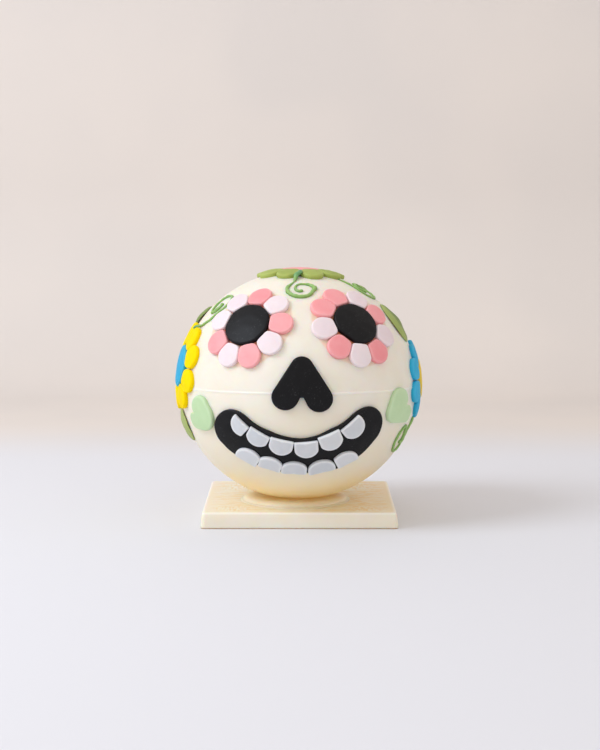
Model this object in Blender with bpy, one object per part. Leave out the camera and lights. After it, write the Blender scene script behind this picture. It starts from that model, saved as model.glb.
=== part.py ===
"""A chocolate smash ball dressed as a sugar skull, standing on its chocolate plinth.

Lengths here are in millimetres and angles in degrees, and every mesh is made in metres. +Z is up and the
face looks along -Y. The origin is the middle of the plinth's underside. Everything on the ball is
modelled around the ball's own centre and hangs from one empty there, which leans the ball back.

A patch is a flat sheet laid on the ball: a point of it is x to the viewer's right, y up and a lift off
the shell, and wrapping the sheet keeps its distances from the patch's middle.
"""

import math

import bmesh
import bpy
import numpy as np

MM = 0.001
GAP = 0.3

# Ball: two half shells joined at a bead, a little lower than it is wide
BALL_RADIUS = 75.0
BALL_HALF_HEIGHT = 72.2
BALL_AT = (-0.6, -11.3)
BALL_LEAN = 2.1
BALL_SIDES = 48
BALL_ROWS = 11
BALL_FLOOR = 1.0
SEAM_HEIGHT = 0.25
SEAM_HALF_WIDTH = 0.6

# Plinth: a cast slab with drafted sides
PLINTH_TOP = 119.4
PLINTH_FOOT = 121.5
PLINTH_HEIGHT = 10.0
PLINTH_EDGE = 1.3

# Seat: a low ring with a rounded lip, dished to take the ball. The lip runs from foot to top, each
# point a distance in from the ring's radius and a height over the slab
SEAT_AT = (-2.7, -11.5)
SEAT_RADIUS = 33.0
SEAT_BORE = 12.0
SEAT_BRIM = 18.6
SEAT_CLEAR = 0.4
SEAT_LIP = ((1.2, 0.3), (0.0, 1.2), (0.2, 2.2), (1.1, 3.1), (2.9, 3.4))
SEAT_SIDES = 36

# Paste pieces on the shell. Their edge is a round of this radius, or a share of the thickness if that
# is less, in steps of an inset by shares of the round and a rise by shares of the thickness
LIFT = 0.5
PRESS_POWER = 16.0
PASTE_EDGE = 1.1
PASTE_EDGE_SHARE = 0.45
PASTE_EDGE_STEPS = ((0.45, 0.0), (0.0, 0.45), (0.25, 0.8), (1.0, 1.0))
PASTE_CROWN = 1.08
PASTE_INNER_CROWN = 1.06

# Eyes: a black disc in a wreath of nine petals, clockwise from the top. Each has its bearing, how far
# it strays from the common reach, and P for pink or L for the lighter blush
EYES = {
    "left": (
        (-29.1, 33.5),
        (88, 49, 8, -32, -72, -109, -146, 169, 128),
        (0.3, -0.2, -0.1, 0.0, 0.3, 0.4, -0.2, -0.8, 0.4),
        "PLPLPLPLL",
    ),
    "right": (
        (33.3, 34.0),
        (105, 63, 22, -22, -62, -99, -137, -177, 142),
        (0.0, -0.3, -0.6, -0.4, 0.3, 0.0, 0.5, 0.3, 0.2),
        "PLPLPLPLP",
    ),
}
EYE_DISC_RADIUS = 14.9
EYE_DISC_THICK = 2.7
EYE_PETAL_RADIUS = 8.25
EYE_PETAL_REACH = 21.2
EYE_PETAL_THICK = 2.4

# Flowers at the sides and on the crown: patch, turn, first petal's bearing and the two colours
FLOWERS = {
    "crown": (118.0, 88.9, 118.0, -110.0, "olive", "pink"),
    "left": (-79.0, 10.4, 0.0, 19.0, "yellow", "sky_blue"),
    "right": (89.5, 3.4, 0.0, 120.0, "sky_blue", "marigold"),
}
FLOWER_DISC_RADIUS = 14.0
FLOWER_DISC_THICK = 2.7
FLOWER_PETAL_RADIUS = 8.1
FLOWER_PETAL_REACH = 20.6
FLOWER_PETAL_THICK = 2.3
PETALS = 9

# Nose: a heart, point up, as three discs (x, y, radius) with the last one its point
NOSE_PATCH = (1.6, 3.8)
NOSE_DISCS = ((-9.7, -6.8, 8.0), (10.3, -8.0, 8.1), (0.0, 11.3, 6.8))
NOSE_THICK = 2.2

# Cheeks: two soft hearts that point at the corners of the mouth
CHEEKS = {
    "left": (-54.0, -12.0, ((2.0, 4.5, 8.1), (-4.5, -3.4, 6.0), (3.6, -0.6, 9.3)), (160.0, 2.4)),
    "right": (57.0, -9.0, ((-3.2, 4.5, 8.9), (6.7, -3.8, 5.8), (-7.7, -2.1, 6.7)), (35.0, 2.0)),
}
CHEEK_THICK = 2.1
CHEEK_NOTCH_WIDTH = 11.0

# Mouth: a band bent along an arc about a point above it, with round ends. Its section goes round the
# band by side, inset as a share of the edge's round, and rise as a share of the thickness
MOUTH_PATCH = (0.6, -28.9)
MOUTH_ARC_CENTRE = (-0.3, 62.0)
MOUTH_ARC_RADIUS = 66.4
MOUTH_HALF_WIDTH = 14.2
MOUTH_HALF_SWEEP = 37.1
MOUTH_THICK = 1.8
MOUTH_EDGE = 0.8
MOUTH_CROWN = 1.05
MOUTH_SECTION = (
    (-1, 0.35, 0.0),
    (0, 0.0, 0.0),
    (1, 0.35, 0.0),
    (1, 0.0, 0.45),
    (1, 1.0, 1.0),
    (0, 0.0, MOUTH_CROWN),
    (-1, 1.0, 1.0),
    (-1, 0.0, 0.45),
)
MOUTH_STATIONS = 20
MOUTH_END_STATIONS = 6

# Teeth: six hang from the upper lip and five stand on the lower one
TOOTH_THICK = 1.7
UPPER_TEETH = 6
UPPER_TOOTH_PITCH = 14.3
UPPER_TOOTH_MIDDLE = -2.1
UPPER_TOOTH_RADIUS = 57.5
UPPER_TOOTH_HALF = (7.5, 6.5)
UPPER_TOOTH_FLAT = 4.9
LOWER_TEETH = 5
LOWER_TOOTH_PITCH = 11.4
LOWER_TOOTH_MIDDLE = -1.4
LOWER_TOOTH_RADIUS = 73.5
LOWER_TOOTH_HALF = (8.3, 5.7)
LOWER_TOOTH_FLAT = 4.8
TOOTH_PRESS_POWER = 30.0

# Leaves: patch, bearing of the tip, length and width
LEAVES = {
    "right_brow": (76.5, 34.0, 97.0, 29.5, 20.5),
    "left_brow": (-96.0, 35.4, 75.0, 21.0, 13.0),
    "left_jaw": (-80.3, -19.2, -66.0, 23.6, 16.0),
    "right_crown": (112.0, 53.5, -30.0, 21.0, 14.0),
}
LEAF_THICK = 1.9
LEAF_RIM_SHARE = 0.25
LEAF_POINT_POWER = 0.8
LEAF_CREASE = 0.7
LEAF_WAVE = 0.35
LEAF_WAVE_TURN = 2.2 * math.pi
LEAF_WAVE_SLANT = 1.5
LEAF_CLEAR = 0.15
LEAF_CELLS = (8, 4)

# Vines: patch, curl's centre, radius, start and sweep, and the stalk's points before the curl
VINES = {
    "forehead": ((1.0, 62.0), (1.0, -6.8), 8.3, 150.0, 490.0, ((-2.3, 6.3), (-3.7, 3.0), (-4.9, 0.8))),
    "left_temple": ((-57.0, 42.0), (-6.0, 5.2), 7.9, -25.0, 440.0, ((-15.0, -13.0), (-6.0, -8.4))),
    "right_temple": ((82.0, 57.0), (-4.0, -0.8), 8.9, 155.0, 470.0, ((-10.7, 11.6), (-11.0, 8.6))),
    "right_jaw": ((69.5, -26.2), (0.0, 0.0), 8.6, 30.0, -440.0, ((12.6, 10.8), (10.6, 8.6))),
}
VINE_HALF_WIDTH = 1.35
VINE_HEIGHT = 1.8
VINE_KNOT = 0.35
VINE_KNOT_LENGTH = 0.06
VINE_CLOSES_TO = 0.08
VINE_STATION_STEP = 22.0
VINE_SECTION = ((-1.0, 0.0), (1.0, 0.0), (0.9, 0.55), (0.45, 1.0), (-0.45, 1.0), (-0.9, 0.55))

# Finishes: colour, roughness
FINISHES = {
    "ivory_shell": ((0.87, 0.80, 0.66), 0.36),
    "ivory_plinth": ((0.84, 0.75, 0.57), 0.45),
    "pink": ((0.93, 0.36, 0.38), 0.5),
    "blush": ((0.89, 0.74, 0.77), 0.5),
    "black": ((0.014, 0.014, 0.017), 0.45),
    "tooth_white": ((0.62, 0.65, 0.68), 0.45),
    "mint": ((0.50, 0.70, 0.42), 0.5),
    "yellow": ((0.96, 0.70, 0.0), 0.45),
    "sky_blue": ((0.03, 0.36, 0.60), 0.45),
    "marigold": ((0.85, 0.58, 0.05), 0.45),
    "olive": ((0.30, 0.40, 0.10), 0.5),
    "vine_green": ((0.20, 0.42, 0.09), 0.45),
}


def clear_scene():
    """Empty the scene."""
    for item in list(bpy.data.objects):
        bpy.data.objects.remove(item, do_unlink=True)


def finish(name):
    """The Principled material of one finish, made once."""
    found = bpy.data.materials.get(name)
    if found:
        return found
    colour, roughness = FINISHES[name]
    made = bpy.data.materials.new(name)
    made.use_nodes = True
    shader = made.node_tree.nodes["Principled BSDF"]
    shader.inputs["Base Color"].default_value = (*colour, 1.0)
    shader.inputs["Roughness"].default_value = roughness
    shader.inputs["Metallic"].default_value = 0.0
    made.diffuse_color = (*colour, 1.0)
    return made


def add_object(name, points, faces, finish_name, sharp_angle=50.0):
    """A smooth-shaded mesh object from millimetre points, with its doubles merged and faces outwards."""
    mesh = bpy.data.meshes.new(name)
    mesh.from_pydata((np.asarray(points) * MM).tolist(), [], faces)
    body = bmesh.new()
    body.from_mesh(mesh)
    bmesh.ops.remove_doubles(body, verts=body.verts, dist=1e-6)
    bmesh.ops.recalc_face_normals(body, faces=body.faces)
    body.to_mesh(mesh)
    body.free()
    mesh.shade_smooth()
    mesh.set_sharp_from_angle(angle=math.radians(sharp_angle))
    mesh.materials.append(finish(finish_name))
    item = bpy.data.objects.new(name, mesh)
    bpy.context.scene.collection.objects.link(item)
    return item


def loop_faces(loops, sides, closed_ends=False):
    """Quads between each loop of points and the next, and between the last and the first on request."""
    faces = []
    spans = loops if closed_ends else loops - 1
    for row in range(spans):
        low = row * sides
        high = (row + 1) % loops * sides
        for side in range(sides):
            after = (side + 1) % sides
            faces.append((low + side, low + after, high + after, high + side))
    return faces


def turned(loops, bottom_pole=None, top_pole=None):
    """Points and faces of a stack of loops, each end closed by a fan to its pole."""
    sides = len(loops[0])
    points = np.concatenate(loops)
    faces = loop_faces(len(loops), sides)
    last = (len(loops) - 1) * sides
    for pole, first, flip in ((bottom_pole, 0, True), (top_pole, last, False)):
        if pole is None:
            continue
        hub = len(points)
        points = np.vstack([points, pole])
        for side in range(sides):
            rim = (first + side, first + (side + 1) % sides)
            faces.append((rim[1], rim[0], hub) if flip else (rim[0], rim[1], hub))
    return points, faces


class Patch:
    """A flat sheet wrapped on the ball about one direction of it."""

    def __init__(self, longitude, latitude, turn=0.0):
        around, above = math.radians(longitude), math.radians(latitude)
        self.out = np.array(
            [
                math.sin(around) * math.cos(above),
                -math.cos(around) * math.cos(above),
                math.sin(above),
            ]
        )
        east = np.array([math.cos(around), math.sin(around), 0.0])
        north = np.cross(self.out, east)
        swing = math.radians(turn)
        self.right = math.cos(swing) * east - math.sin(swing) * north
        self.up = math.sin(swing) * east + math.cos(swing) * north

    def wrap(self, x, y, lift):
        """Points in the ball's frame: the sheet's radius becomes an angle, and lift goes along the normal."""
        x, y, lift = np.broadcast_arrays(*(np.asarray(part, float) for part in (x, y, lift)))
        reach = np.hypot(x, y)
        angle = reach / BALL_RADIUS
        share = np.where(reach > 1e-9, np.sin(angle) / np.maximum(reach, 1e-9), 0.0)
        unit = (
            np.cos(angle)[..., None] * self.out
            + (share * x)[..., None] * self.right
            + (share * y)[..., None] * self.up
        )
        axes = np.array([BALL_RADIUS, BALL_RADIUS, BALL_HALF_HEIGHT])
        normal = unit / axes
        normal /= np.linalg.norm(normal, axis=-1, keepdims=True)
        return unit * axes + normal * lift[..., None]


def bearings(sides):
    """Evenly spaced bearings round a piece, in radians."""
    return np.arange(sides) * 2 * math.pi / sides


def pressed_outline(angles, half_axes, walls, turn=0.0, power=PRESS_POWER):
    """An oval squeezed by straight walls, each a bearing in degrees and a distance from the middle.

    The outline is the least of the lengths to the oval and to the walls, and a lower power rounds the
    corners between them more.
    """
    across, along = half_axes
    own = angles - math.radians(turn)
    total = np.hypot(np.cos(own) / across, np.sin(own) / along) ** power
    for bearing, distance in walls:
        towards = np.maximum(np.cos(angles - math.radians(bearing)), 0.0)
        total = total + (towards / distance) ** power
    return total ** (-1 / power)


def heart_outline(angles, discs, notch=(0.0, 0.0)):
    """Reach from the middle to the far side of two tapered runs, from each lobe disc to the point disc."""
    point = np.array(discs[2])
    ray = np.column_stack([np.cos(angles), np.sin(angles)])
    reach = np.zeros(len(angles))
    for lobe in discs[:2]:
        share = np.linspace(0.0, 1.0, 21)[:, None]
        run = np.array(lobe) * (1 - share) + point * share
        along = ray @ run[:, :2].T
        inside = along**2 - (run[:, :2] ** 2).sum(1) + run[:, 2] ** 2
        far = np.where(inside > 0, along + np.sqrt(np.maximum(inside, 0)), 0.0)
        reach = np.maximum(reach, far.max(1))
    bearing, depth = notch
    off = (np.degrees(angles) - bearing + 180.0) % 360.0 - 180.0
    return reach - depth * np.exp(-((off / CHEEK_NOTCH_WIDTH) ** 2))


def cushion(name, patch, middle, outline, angles, thick, finish_name, base=LIFT, inner_ring=False):
    """A piece of rolled paste: flat below, round at the edge and slightly crowned above."""
    edge = min(PASTE_EDGE, PASTE_EDGE_SHARE * thick)
    steps = [(share * edge, rise) for share, rise in PASTE_EDGE_STEPS]
    if inner_ring:
        half = outline.mean() / 2
        steps = [(half, 0.0), *steps, (half, PASTE_INNER_CROWN)]

    def ring(inset, rise):
        """One loop of the piece: its outline moved in, at a share of the thickness."""
        reach = outline - inset
        return patch.wrap(
            middle[0] + reach * np.cos(angles),
            middle[1] + reach * np.sin(angles),
            base + rise * thick,
        )

    loops = [ring(inset, rise) for inset, rise in steps]
    bottom = patch.wrap(middle[0], middle[1], base)
    top = patch.wrap(middle[0], middle[1], base + PASTE_CROWN * thick)
    return add_object(name, *turned(loops, bottom, top), finish_name)


def wall_between(here, there, radius_here, radius_there, gap):
    """The straight wall where two round pieces press on each other: its bearing and its distance."""
    offset = np.subtract(there, here)
    apart = math.hypot(*offset)
    distance = (apart**2 + radius_here**2 - radius_there**2) / (2 * apart) - gap / 2
    return math.degrees(math.atan2(offset[1], offset[0])), distance


def wreath(petal_bearings, reach, disc_radius, petal_radius, gap):
    """Middles of the petals round a disc, the walls that squeeze each, and the walls of the disc.

    The reach from the disc's middle is one for all the petals, or one for each.
    """
    around = np.radians(petal_bearings)
    middles = np.column_stack([reach * np.cos(around), reach * np.sin(around)])
    disc = (0.0, 0.0)
    petal_walls = []
    for index, middle in enumerate(middles):
        beside = (middles[index - 1], middles[(index + 1) % len(middles)])
        walls = [wall_between(middle, other, petal_radius, petal_radius, gap) for other in beside]
        walls.append(wall_between(middle, disc, petal_radius, disc_radius, GAP))
        petal_walls.append(walls)
    disc_walls = [wall_between(disc, middle, disc_radius, petal_radius, GAP) for middle in middles]
    return middles, petal_walls, disc_walls


def build_ball():
    """The shell: rows from pole to pole, with the bead where the two halves meet."""
    bead = SEAM_HALF_WIDTH / BALL_RADIUS
    half = np.linspace(-math.pi / 2, -bead, BALL_ROWS + 1)[1:]
    rows = [(latitude, 0.0) for latitude in half]
    rows.append((0.0, SEAM_HEIGHT))
    rows.extend((-latitude, 0.0) for latitude in half[::-1])
    around = bearings(BALL_SIDES)
    loops = []
    for latitude, proud in rows:
        reach = (BALL_RADIUS + proud) * math.cos(latitude)
        height = np.full(BALL_SIDES, BALL_HALF_HEIGHT * math.sin(latitude))
        loops.append(np.column_stack([reach * np.cos(around), reach * np.sin(around), height]))
    poles = ((0, 0, -BALL_HALF_HEIGHT), (0, 0, BALL_HALF_HEIGHT))
    return [add_object("ball_shell", *turned(loops, *poles), "ivory_shell")]


def ball_underside(reach):
    """Height of the ball's underside at a distance from its axis."""
    middle = PLINTH_HEIGHT + BALL_FLOOR + BALL_HALF_HEIGHT
    return middle - BALL_HALF_HEIGHT * math.sqrt(1 - (reach / BALL_RADIUS) ** 2)


def build_plinth():
    """A square slab, wider at its foot, with its upper and upright edges rounded."""
    body = bmesh.new()
    bmesh.ops.create_cube(body, size=1.0)
    for corner in body.verts:
        side = PLINTH_TOP if corner.co.z > 0 else PLINTH_FOOT
        corner.co.x *= side * MM
        corner.co.y *= side * MM
        corner.co.z = PLINTH_HEIGHT * MM if corner.co.z > 0 else 0.0
    foot = [edge for edge in body.edges if all(end.co.z == 0.0 for end in edge.verts)]
    rounded = [edge for edge in body.edges if edge not in foot]
    bmesh.ops.bevel(body, geom=rounded, offset=PLINTH_EDGE * MM, segments=3, profile=0.5, affect="EDGES")
    mesh = bpy.data.meshes.new("plinth_slab")
    body.to_mesh(mesh)
    body.free()
    mesh.shade_smooth()
    mesh.set_sharp_from_angle(angle=math.radians(50.0))
    mesh.materials.append(finish("ivory_plinth"))
    slab = bpy.data.objects.new("plinth_slab", mesh)
    bpy.context.scene.collection.objects.link(slab)


def build_seat():
    """The ring on the plinth: its bore and dish are round the ball's axis, its lip round its own."""
    profile = [(SEAT_BORE, PLINTH_HEIGHT + SEAT_LIP[0][1], BALL_AT)]
    for inset, rise in SEAT_LIP:
        profile.append((SEAT_RADIUS - inset, PLINTH_HEIGHT + rise, SEAT_AT))
    for reach in (SEAT_BRIM, SEAT_BORE):
        profile.append((reach, ball_underside(reach) - SEAT_CLEAR, BALL_AT))
    around = bearings(SEAT_SIDES)
    loops = []
    for reach, height, middle in profile:
        x = middle[0] + reach * np.cos(around)
        y = middle[1] + reach * np.sin(around)
        loops.append(np.column_stack([x, y, np.full(SEAT_SIDES, height)]))
    faces = loop_faces(len(loops), SEAT_SIDES, closed_ends=True)
    add_object("seat_ring", np.concatenate(loops), faces, "ivory_plinth")


def build_eyes():
    """Each eye: a disc and nine petals pressed round it."""
    made = []
    for side, (where, around, strays, colours) in EYES.items():
        patch = Patch(*where)
        reaches = EYE_PETAL_REACH + np.array(strays)
        middles, petal_walls, disc_walls = wreath(
            around, reaches, EYE_DISC_RADIUS, EYE_PETAL_RADIUS, GAP
        )
        angles = bearings(22)
        outline = pressed_outline(angles, (EYE_DISC_RADIUS, EYE_DISC_RADIUS), disc_walls)
        name = f"eye_{side}_disc"
        made.append(
            cushion(name, patch, (0, 0), outline, angles, EYE_DISC_THICK, "black", inner_ring=True)
        )
        angles = bearings(16)
        for index, (middle, walls) in enumerate(zip(middles, petal_walls)):
            outline = pressed_outline(angles, (EYE_PETAL_RADIUS, EYE_PETAL_RADIUS), walls)
            colour = "pink" if colours[index] == "P" else "blush"
            name = f"eye_{side}_petal_{index + 1}"
            made.append(cushion(name, patch, middle, outline, angles, EYE_PETAL_THICK, colour))
    return made


def fused(name, pieces):
    """One solid from pieces that run into each other."""
    others = bpy.data.collections.new(name + "_parts")
    bpy.context.scene.collection.children.link(others)
    for piece in pieces[1:]:
        others.objects.link(piece)
    first = pieces[0]
    joint = first.modifiers.new("Join", "BOOLEAN")
    joint.operation = "UNION"
    joint.operand_type = "COLLECTION"
    joint.collection = others
    joint.solver = "EXACT"
    graph = bpy.context.evaluated_depsgraph_get()
    whole = bpy.data.meshes.new_from_object(first.evaluated_get(graph))
    first.modifiers.clear()
    first.data = whole
    whole.name = name
    first.name = name
    for piece in pieces[1:]:
        bpy.data.objects.remove(piece, do_unlink=True)
    bpy.data.collections.remove(others)
    return first


def build_flowers():
    """Three flowers, each a disc in a ring of nine petals that run together."""
    made = []
    for place, (longitude, latitude, turn, start, petal_colour, disc_colour) in FLOWERS.items():
        patch = Patch(longitude, latitude, turn)
        around = [start - index * 360.0 / PETALS for index in range(PETALS)]
        middles, petal_walls, _ = wreath(
            around, FLOWER_PETAL_REACH, FLOWER_DISC_RADIUS, FLOWER_PETAL_RADIUS, -2 * GAP
        )
        _, _, disc_walls = wreath(
            around, FLOWER_PETAL_REACH, FLOWER_DISC_RADIUS, FLOWER_PETAL_RADIUS, GAP
        )
        angles = bearings(18)
        outline = pressed_outline(angles, (FLOWER_DISC_RADIUS, FLOWER_DISC_RADIUS), disc_walls)
        name = f"flower_{place}_disc"
        made.append(cushion(name, patch, (0, 0), outline, angles, FLOWER_DISC_THICK, disc_colour))
        angles = bearings(12)
        petals = []
        for index, (middle, walls) in enumerate(zip(middles, petal_walls)):
            outline = pressed_outline(angles, (FLOWER_PETAL_RADIUS, FLOWER_PETAL_RADIUS), walls)
            name = f"flower_{place}_petal_{index + 1}"
            petals.append(
                cushion(name, patch, middle, outline, angles, FLOWER_PETAL_THICK, petal_colour)
            )
        made.append(fused(f"flower_{place}_petals", petals))
    return made


def build_nose():
    """The nose: a black heart, point up."""
    angles = bearings(26) + math.pi / 2
    outline = heart_outline(angles, NOSE_DISCS)
    patch = Patch(*NOSE_PATCH)
    return [cushion("nose", patch, (0, 0), outline, angles, NOSE_THICK, "black", inner_ring=True)]


def build_cheeks():
    """The two pale green hearts."""
    made = []
    for side, (longitude, latitude, discs, notch) in CHEEKS.items():
        angles = bearings(22) + math.radians(notch[0])
        outline = heart_outline(angles, discs, notch)
        patch = Patch(longitude, latitude)
        name = f"cheek_{side}"
        made.append(
            cushion(name, patch, (0, 0), outline, angles, CHEEK_THICK, "mint", inner_ring=True)
        )
    return made


def mouth_station(position, half_width):
    """Along-arc angle and half width of the band at a share of its half length past its middle.

    The band is even up to the end of its sweep. Beyond it the two edges close on a half circle.
    """
    if abs(position) <= 1.0:
        return position * math.radians(MOUTH_HALF_SWEEP), half_width
    turn = min(abs(position) - 1.0, 1.0) * math.pi / 2
    past = half_width * math.sin(turn) / MOUTH_ARC_RADIUS
    return math.copysign(math.radians(MOUTH_HALF_SWEEP) + past, position), half_width * math.cos(turn)


def arc_point(angle, radius):
    """A point of the mouth's patch at an angle from straight down about the arc's centre."""
    return (
        MOUTH_ARC_CENTRE[0] + radius * math.sin(angle),
        MOUTH_ARC_CENTRE[1] - radius * math.cos(angle),
    )


def build_mouth():
    """The black mouth: a flat band with a rounded edge, carried along its arc."""
    patch = Patch(*MOUTH_PATCH)
    straight = np.linspace(-1.0, 1.0, MOUTH_STATIONS + 1)
    past = np.linspace(0.0, 1.0, MOUTH_END_STATIONS + 1)[1:]
    positions = np.concatenate([-1.0 - past[::-1], straight, 1.0 + past])
    loops = []
    for position in positions:
        loop = []
        for side, inset, rise in MOUTH_SECTION:
            angle, half = mouth_station(position, MOUTH_HALF_WIDTH - inset * MOUTH_EDGE)
            x, y = arc_point(angle, MOUTH_ARC_RADIUS + side * half)
            loop.append(patch.wrap(x, y, LIFT + rise * MOUTH_THICK))
        loops.append(np.array(loop))
    points = np.concatenate(loops)
    return [add_object("mouth", points, loop_faces(len(loops), len(MOUTH_SECTION)), "black")]


def tooth_row(row, count, pitch, middle, radius, half_axes, flat, flat_side):
    """One row of teeth along the mouth's arc: each an oval cut flat on its gum side, clear of the next."""
    patch = Patch(*MOUTH_PATCH)
    base = LIFT + MOUTH_CROWN * MOUTH_THICK + GAP
    beside = radius * math.radians(pitch) / 2 - GAP / 2
    angles = bearings(18)
    made = []
    for index in range(count):
        around = middle + pitch * (index - (count - 1) / 2)
        walls = [(flat_side + around, flat), (around, beside), (180.0 + around, beside)]
        outline = pressed_outline(angles, half_axes, walls, around, TOOTH_PRESS_POWER)
        place = arc_point(math.radians(around), radius)
        name = f"tooth_{row}_{index + 1}"
        made.append(
            cushion(name, patch, place, outline, angles, TOOTH_THICK, "tooth_white", base=base)
        )
    return made


def build_teeth():
    """Both rows of teeth."""
    upper = tooth_row(
        "upper",
        UPPER_TEETH,
        UPPER_TOOTH_PITCH,
        UPPER_TOOTH_MIDDLE,
        UPPER_TOOTH_RADIUS,
        UPPER_TOOTH_HALF,
        UPPER_TOOTH_FLAT,
        90.0,
    )
    lower = tooth_row(
        "lower",
        LOWER_TEETH,
        LOWER_TOOTH_PITCH,
        LOWER_TOOTH_MIDDLE,
        LOWER_TOOTH_RADIUS,
        LOWER_TOOTH_HALF,
        LOWER_TOOTH_FLAT,
        -90.0,
    )
    return upper + lower


def leaf_faces(rows, columns):
    """Triangles of a leaf: both its faces are cut along the same diagonals, and walls join their sides."""
    row, column = (part.ravel() for part in np.indices((rows, columns)))
    low = row * (columns + 1) + column
    high = low + columns + 1
    grid = np.concatenate(
        [np.column_stack([low, low + 1, high + 1]), np.column_stack([low, high + 1, high])]
    )
    upper = (rows + 1) * (columns + 1)
    faces = [*grid[:, ::-1].tolist(), *(grid + upper).tolist()]
    for edge in (0, columns):
        for index in range(rows):
            here = index * (columns + 1) + edge
            after = here + columns + 1
            faces.append([here, after, after + upper, here + upper])
    return faces


def build_leaves():
    """Each leaf: a pointed sheet, thick along its middle, creased there and gently waved."""
    made = []
    rows, columns = LEAF_CELLS
    along = -np.cos(np.linspace(0.0, math.pi, rows + 1))
    across = np.linspace(-1.0, 1.0, columns + 1)
    share, side = np.meshgrid(along, across, indexing="ij")
    taper = 1 - share**2
    for place, (longitude, latitude, bearing, length, width) in LEAVES.items():
        patch = Patch(longitude, latitude, 90.0 - bearing)
        x = width / 2 * taper**LEAF_POINT_POWER * side
        y = length / 2 * share
        dome = LEAF_RIM_SHARE + (1 - LEAF_RIM_SHARE) * np.sqrt(1 - side**2)
        body = LEAF_THICK * np.sqrt(taper) * dome - LEAF_CREASE * (side == 0.0) * taper
        wave = LEAF_WAVE * (1 + np.sin(LEAF_WAVE_TURN * share + LEAF_WAVE_SLANT * side)) * taper
        floor = LIFT + LEAF_CLEAR + wave
        sheets = [patch.wrap(x, y, lift).reshape(-1, 3) for lift in (floor, floor + body)]
        points = np.concatenate(sheets)
        made.append(add_object(f"leaf_{place}", points, leaf_faces(rows, columns), "olive", 60.0))
    return made


def vine_route(centre, radius, start, sweep, stalk):
    """The vine's middle line: its stalk, then a curl whose radius closes in faster towards its end."""
    steps = round(abs(sweep) / VINE_STATION_STEP)
    share = np.linspace(0.0, 1.0, steps + 1)
    angle = np.radians(start + sweep * share)
    reach = radius * (1 - (1 - VINE_CLOSES_TO) * share**3)
    curl = np.column_stack([centre[0] + reach * np.cos(angle), centre[1] + reach * np.sin(angle)])
    return np.vstack([np.array(stalk), curl])


def build_vines():
    """Each vine: a piped bead, half round and flat below, thicker at its root and at its end."""
    made = []
    section = np.array(VINE_SECTION)
    for place, (where, centre, radius, start, sweep, stalk) in VINES.items():
        patch = Patch(*where)
        route = vine_route(centre, radius, start, sweep, stalk)
        heading = np.gradient(route, axis=0)
        heading /= np.linalg.norm(heading, axis=1, keepdims=True)
        beside = np.column_stack([-heading[:, 1], heading[:, 0]])
        share = np.linspace(0.0, 1.0, len(route))
        root = np.exp(-((share / VINE_KNOT_LENGTH) ** 2))
        swell = 1 + VINE_KNOT * (root + 0.5 * share**12)
        loops = []
        for point, normal, size in zip(route, beside, swell):
            x, y = (point + section[:, :1] * normal * VINE_HALF_WIDTH * size).T
            loops.append(patch.wrap(x, y, LIFT + section[:, 1] * VINE_HEIGHT * size))
        tip = 0.8 * VINE_HALF_WIDTH
        root_end, far_end = route[0] - heading[0] * tip, route[-1] + heading[-1] * tip
        poles = [patch.wrap(*end, LIFT + VINE_HEIGHT / 2) for end in (root_end, far_end)]
        made.append(add_object(f"vine_{place}", *turned(loops, *poles), "vine_green"))
    return made


def hang_on_ball(pieces):
    """Parent the ball and its dressing to an empty at the ball's centre, leaning back."""
    centre = bpy.data.objects.new("ball_centre", None)
    bpy.context.scene.collection.objects.link(centre)
    height = PLINTH_HEIGHT + BALL_FLOOR + BALL_HALF_HEIGHT
    centre.location = (BALL_AT[0] * MM, BALL_AT[1] * MM, height * MM)
    centre.rotation_euler = (-math.radians(BALL_LEAN), 0.0, 0.0)
    for piece in pieces:
        piece.parent = centre


def main():
    """Build the whole piece."""
    clear_scene()
    build_plinth()
    build_seat()
    pieces = []
    for build in (
        build_ball,
        build_eyes,
        build_nose,
        build_cheeks,
        build_mouth,
        build_teeth,
        build_flowers,
        build_leaves,
        build_vines,
    ):
        pieces.extend(build())
    hang_on_ball(pieces)


main()
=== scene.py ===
"""Looks of a white chocolate smash ball dressed as a sugar skull, standing on its chocolate plinth.

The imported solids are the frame. Each class is one sub-assembly: its fields are its sizes, in
millimetres and degrees, and its methods work the surfaces out as arrays and dress them. What lies
on the ball is drawn on a patch, a flat sheet laid on the shell: x runs to the viewer's right, y up,
and lift off it. Colours are in linear light.
"""

import logging
import math
from dataclasses import dataclass, field
from enum import Enum
from typing import Sequence, Union

import bmesh
import bpy
import numpy as np
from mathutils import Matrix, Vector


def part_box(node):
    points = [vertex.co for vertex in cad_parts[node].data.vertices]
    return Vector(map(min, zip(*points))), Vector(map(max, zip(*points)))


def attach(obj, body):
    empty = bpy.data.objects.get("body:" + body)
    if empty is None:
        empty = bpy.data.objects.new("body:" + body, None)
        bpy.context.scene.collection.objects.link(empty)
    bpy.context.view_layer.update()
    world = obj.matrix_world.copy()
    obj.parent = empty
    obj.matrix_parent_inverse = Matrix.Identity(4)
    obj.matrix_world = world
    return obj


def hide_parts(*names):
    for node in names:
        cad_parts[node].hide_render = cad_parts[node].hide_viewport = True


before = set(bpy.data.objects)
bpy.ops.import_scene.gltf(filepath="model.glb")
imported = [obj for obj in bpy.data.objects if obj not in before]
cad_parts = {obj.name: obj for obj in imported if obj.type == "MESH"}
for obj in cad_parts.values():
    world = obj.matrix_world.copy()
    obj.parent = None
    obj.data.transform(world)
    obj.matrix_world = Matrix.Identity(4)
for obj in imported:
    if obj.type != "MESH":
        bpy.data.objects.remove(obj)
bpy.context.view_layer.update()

LOG = logging.getLogger("sugar_skull")
MM = 0.001  # one millimetre in the frame's metres
MERGED = 2e-6  # points of one piece closer than this, in metres, are one point
FULL_TURN = 2 * math.pi
QUARTER_TURN = math.pi / 2
WAVES = 11  # the waves that make up one unevenness
Array = np.ndarray
Colour = tuple[float, float, float]
Point = tuple[float, float]
Place = tuple[float, float, float]
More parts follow.
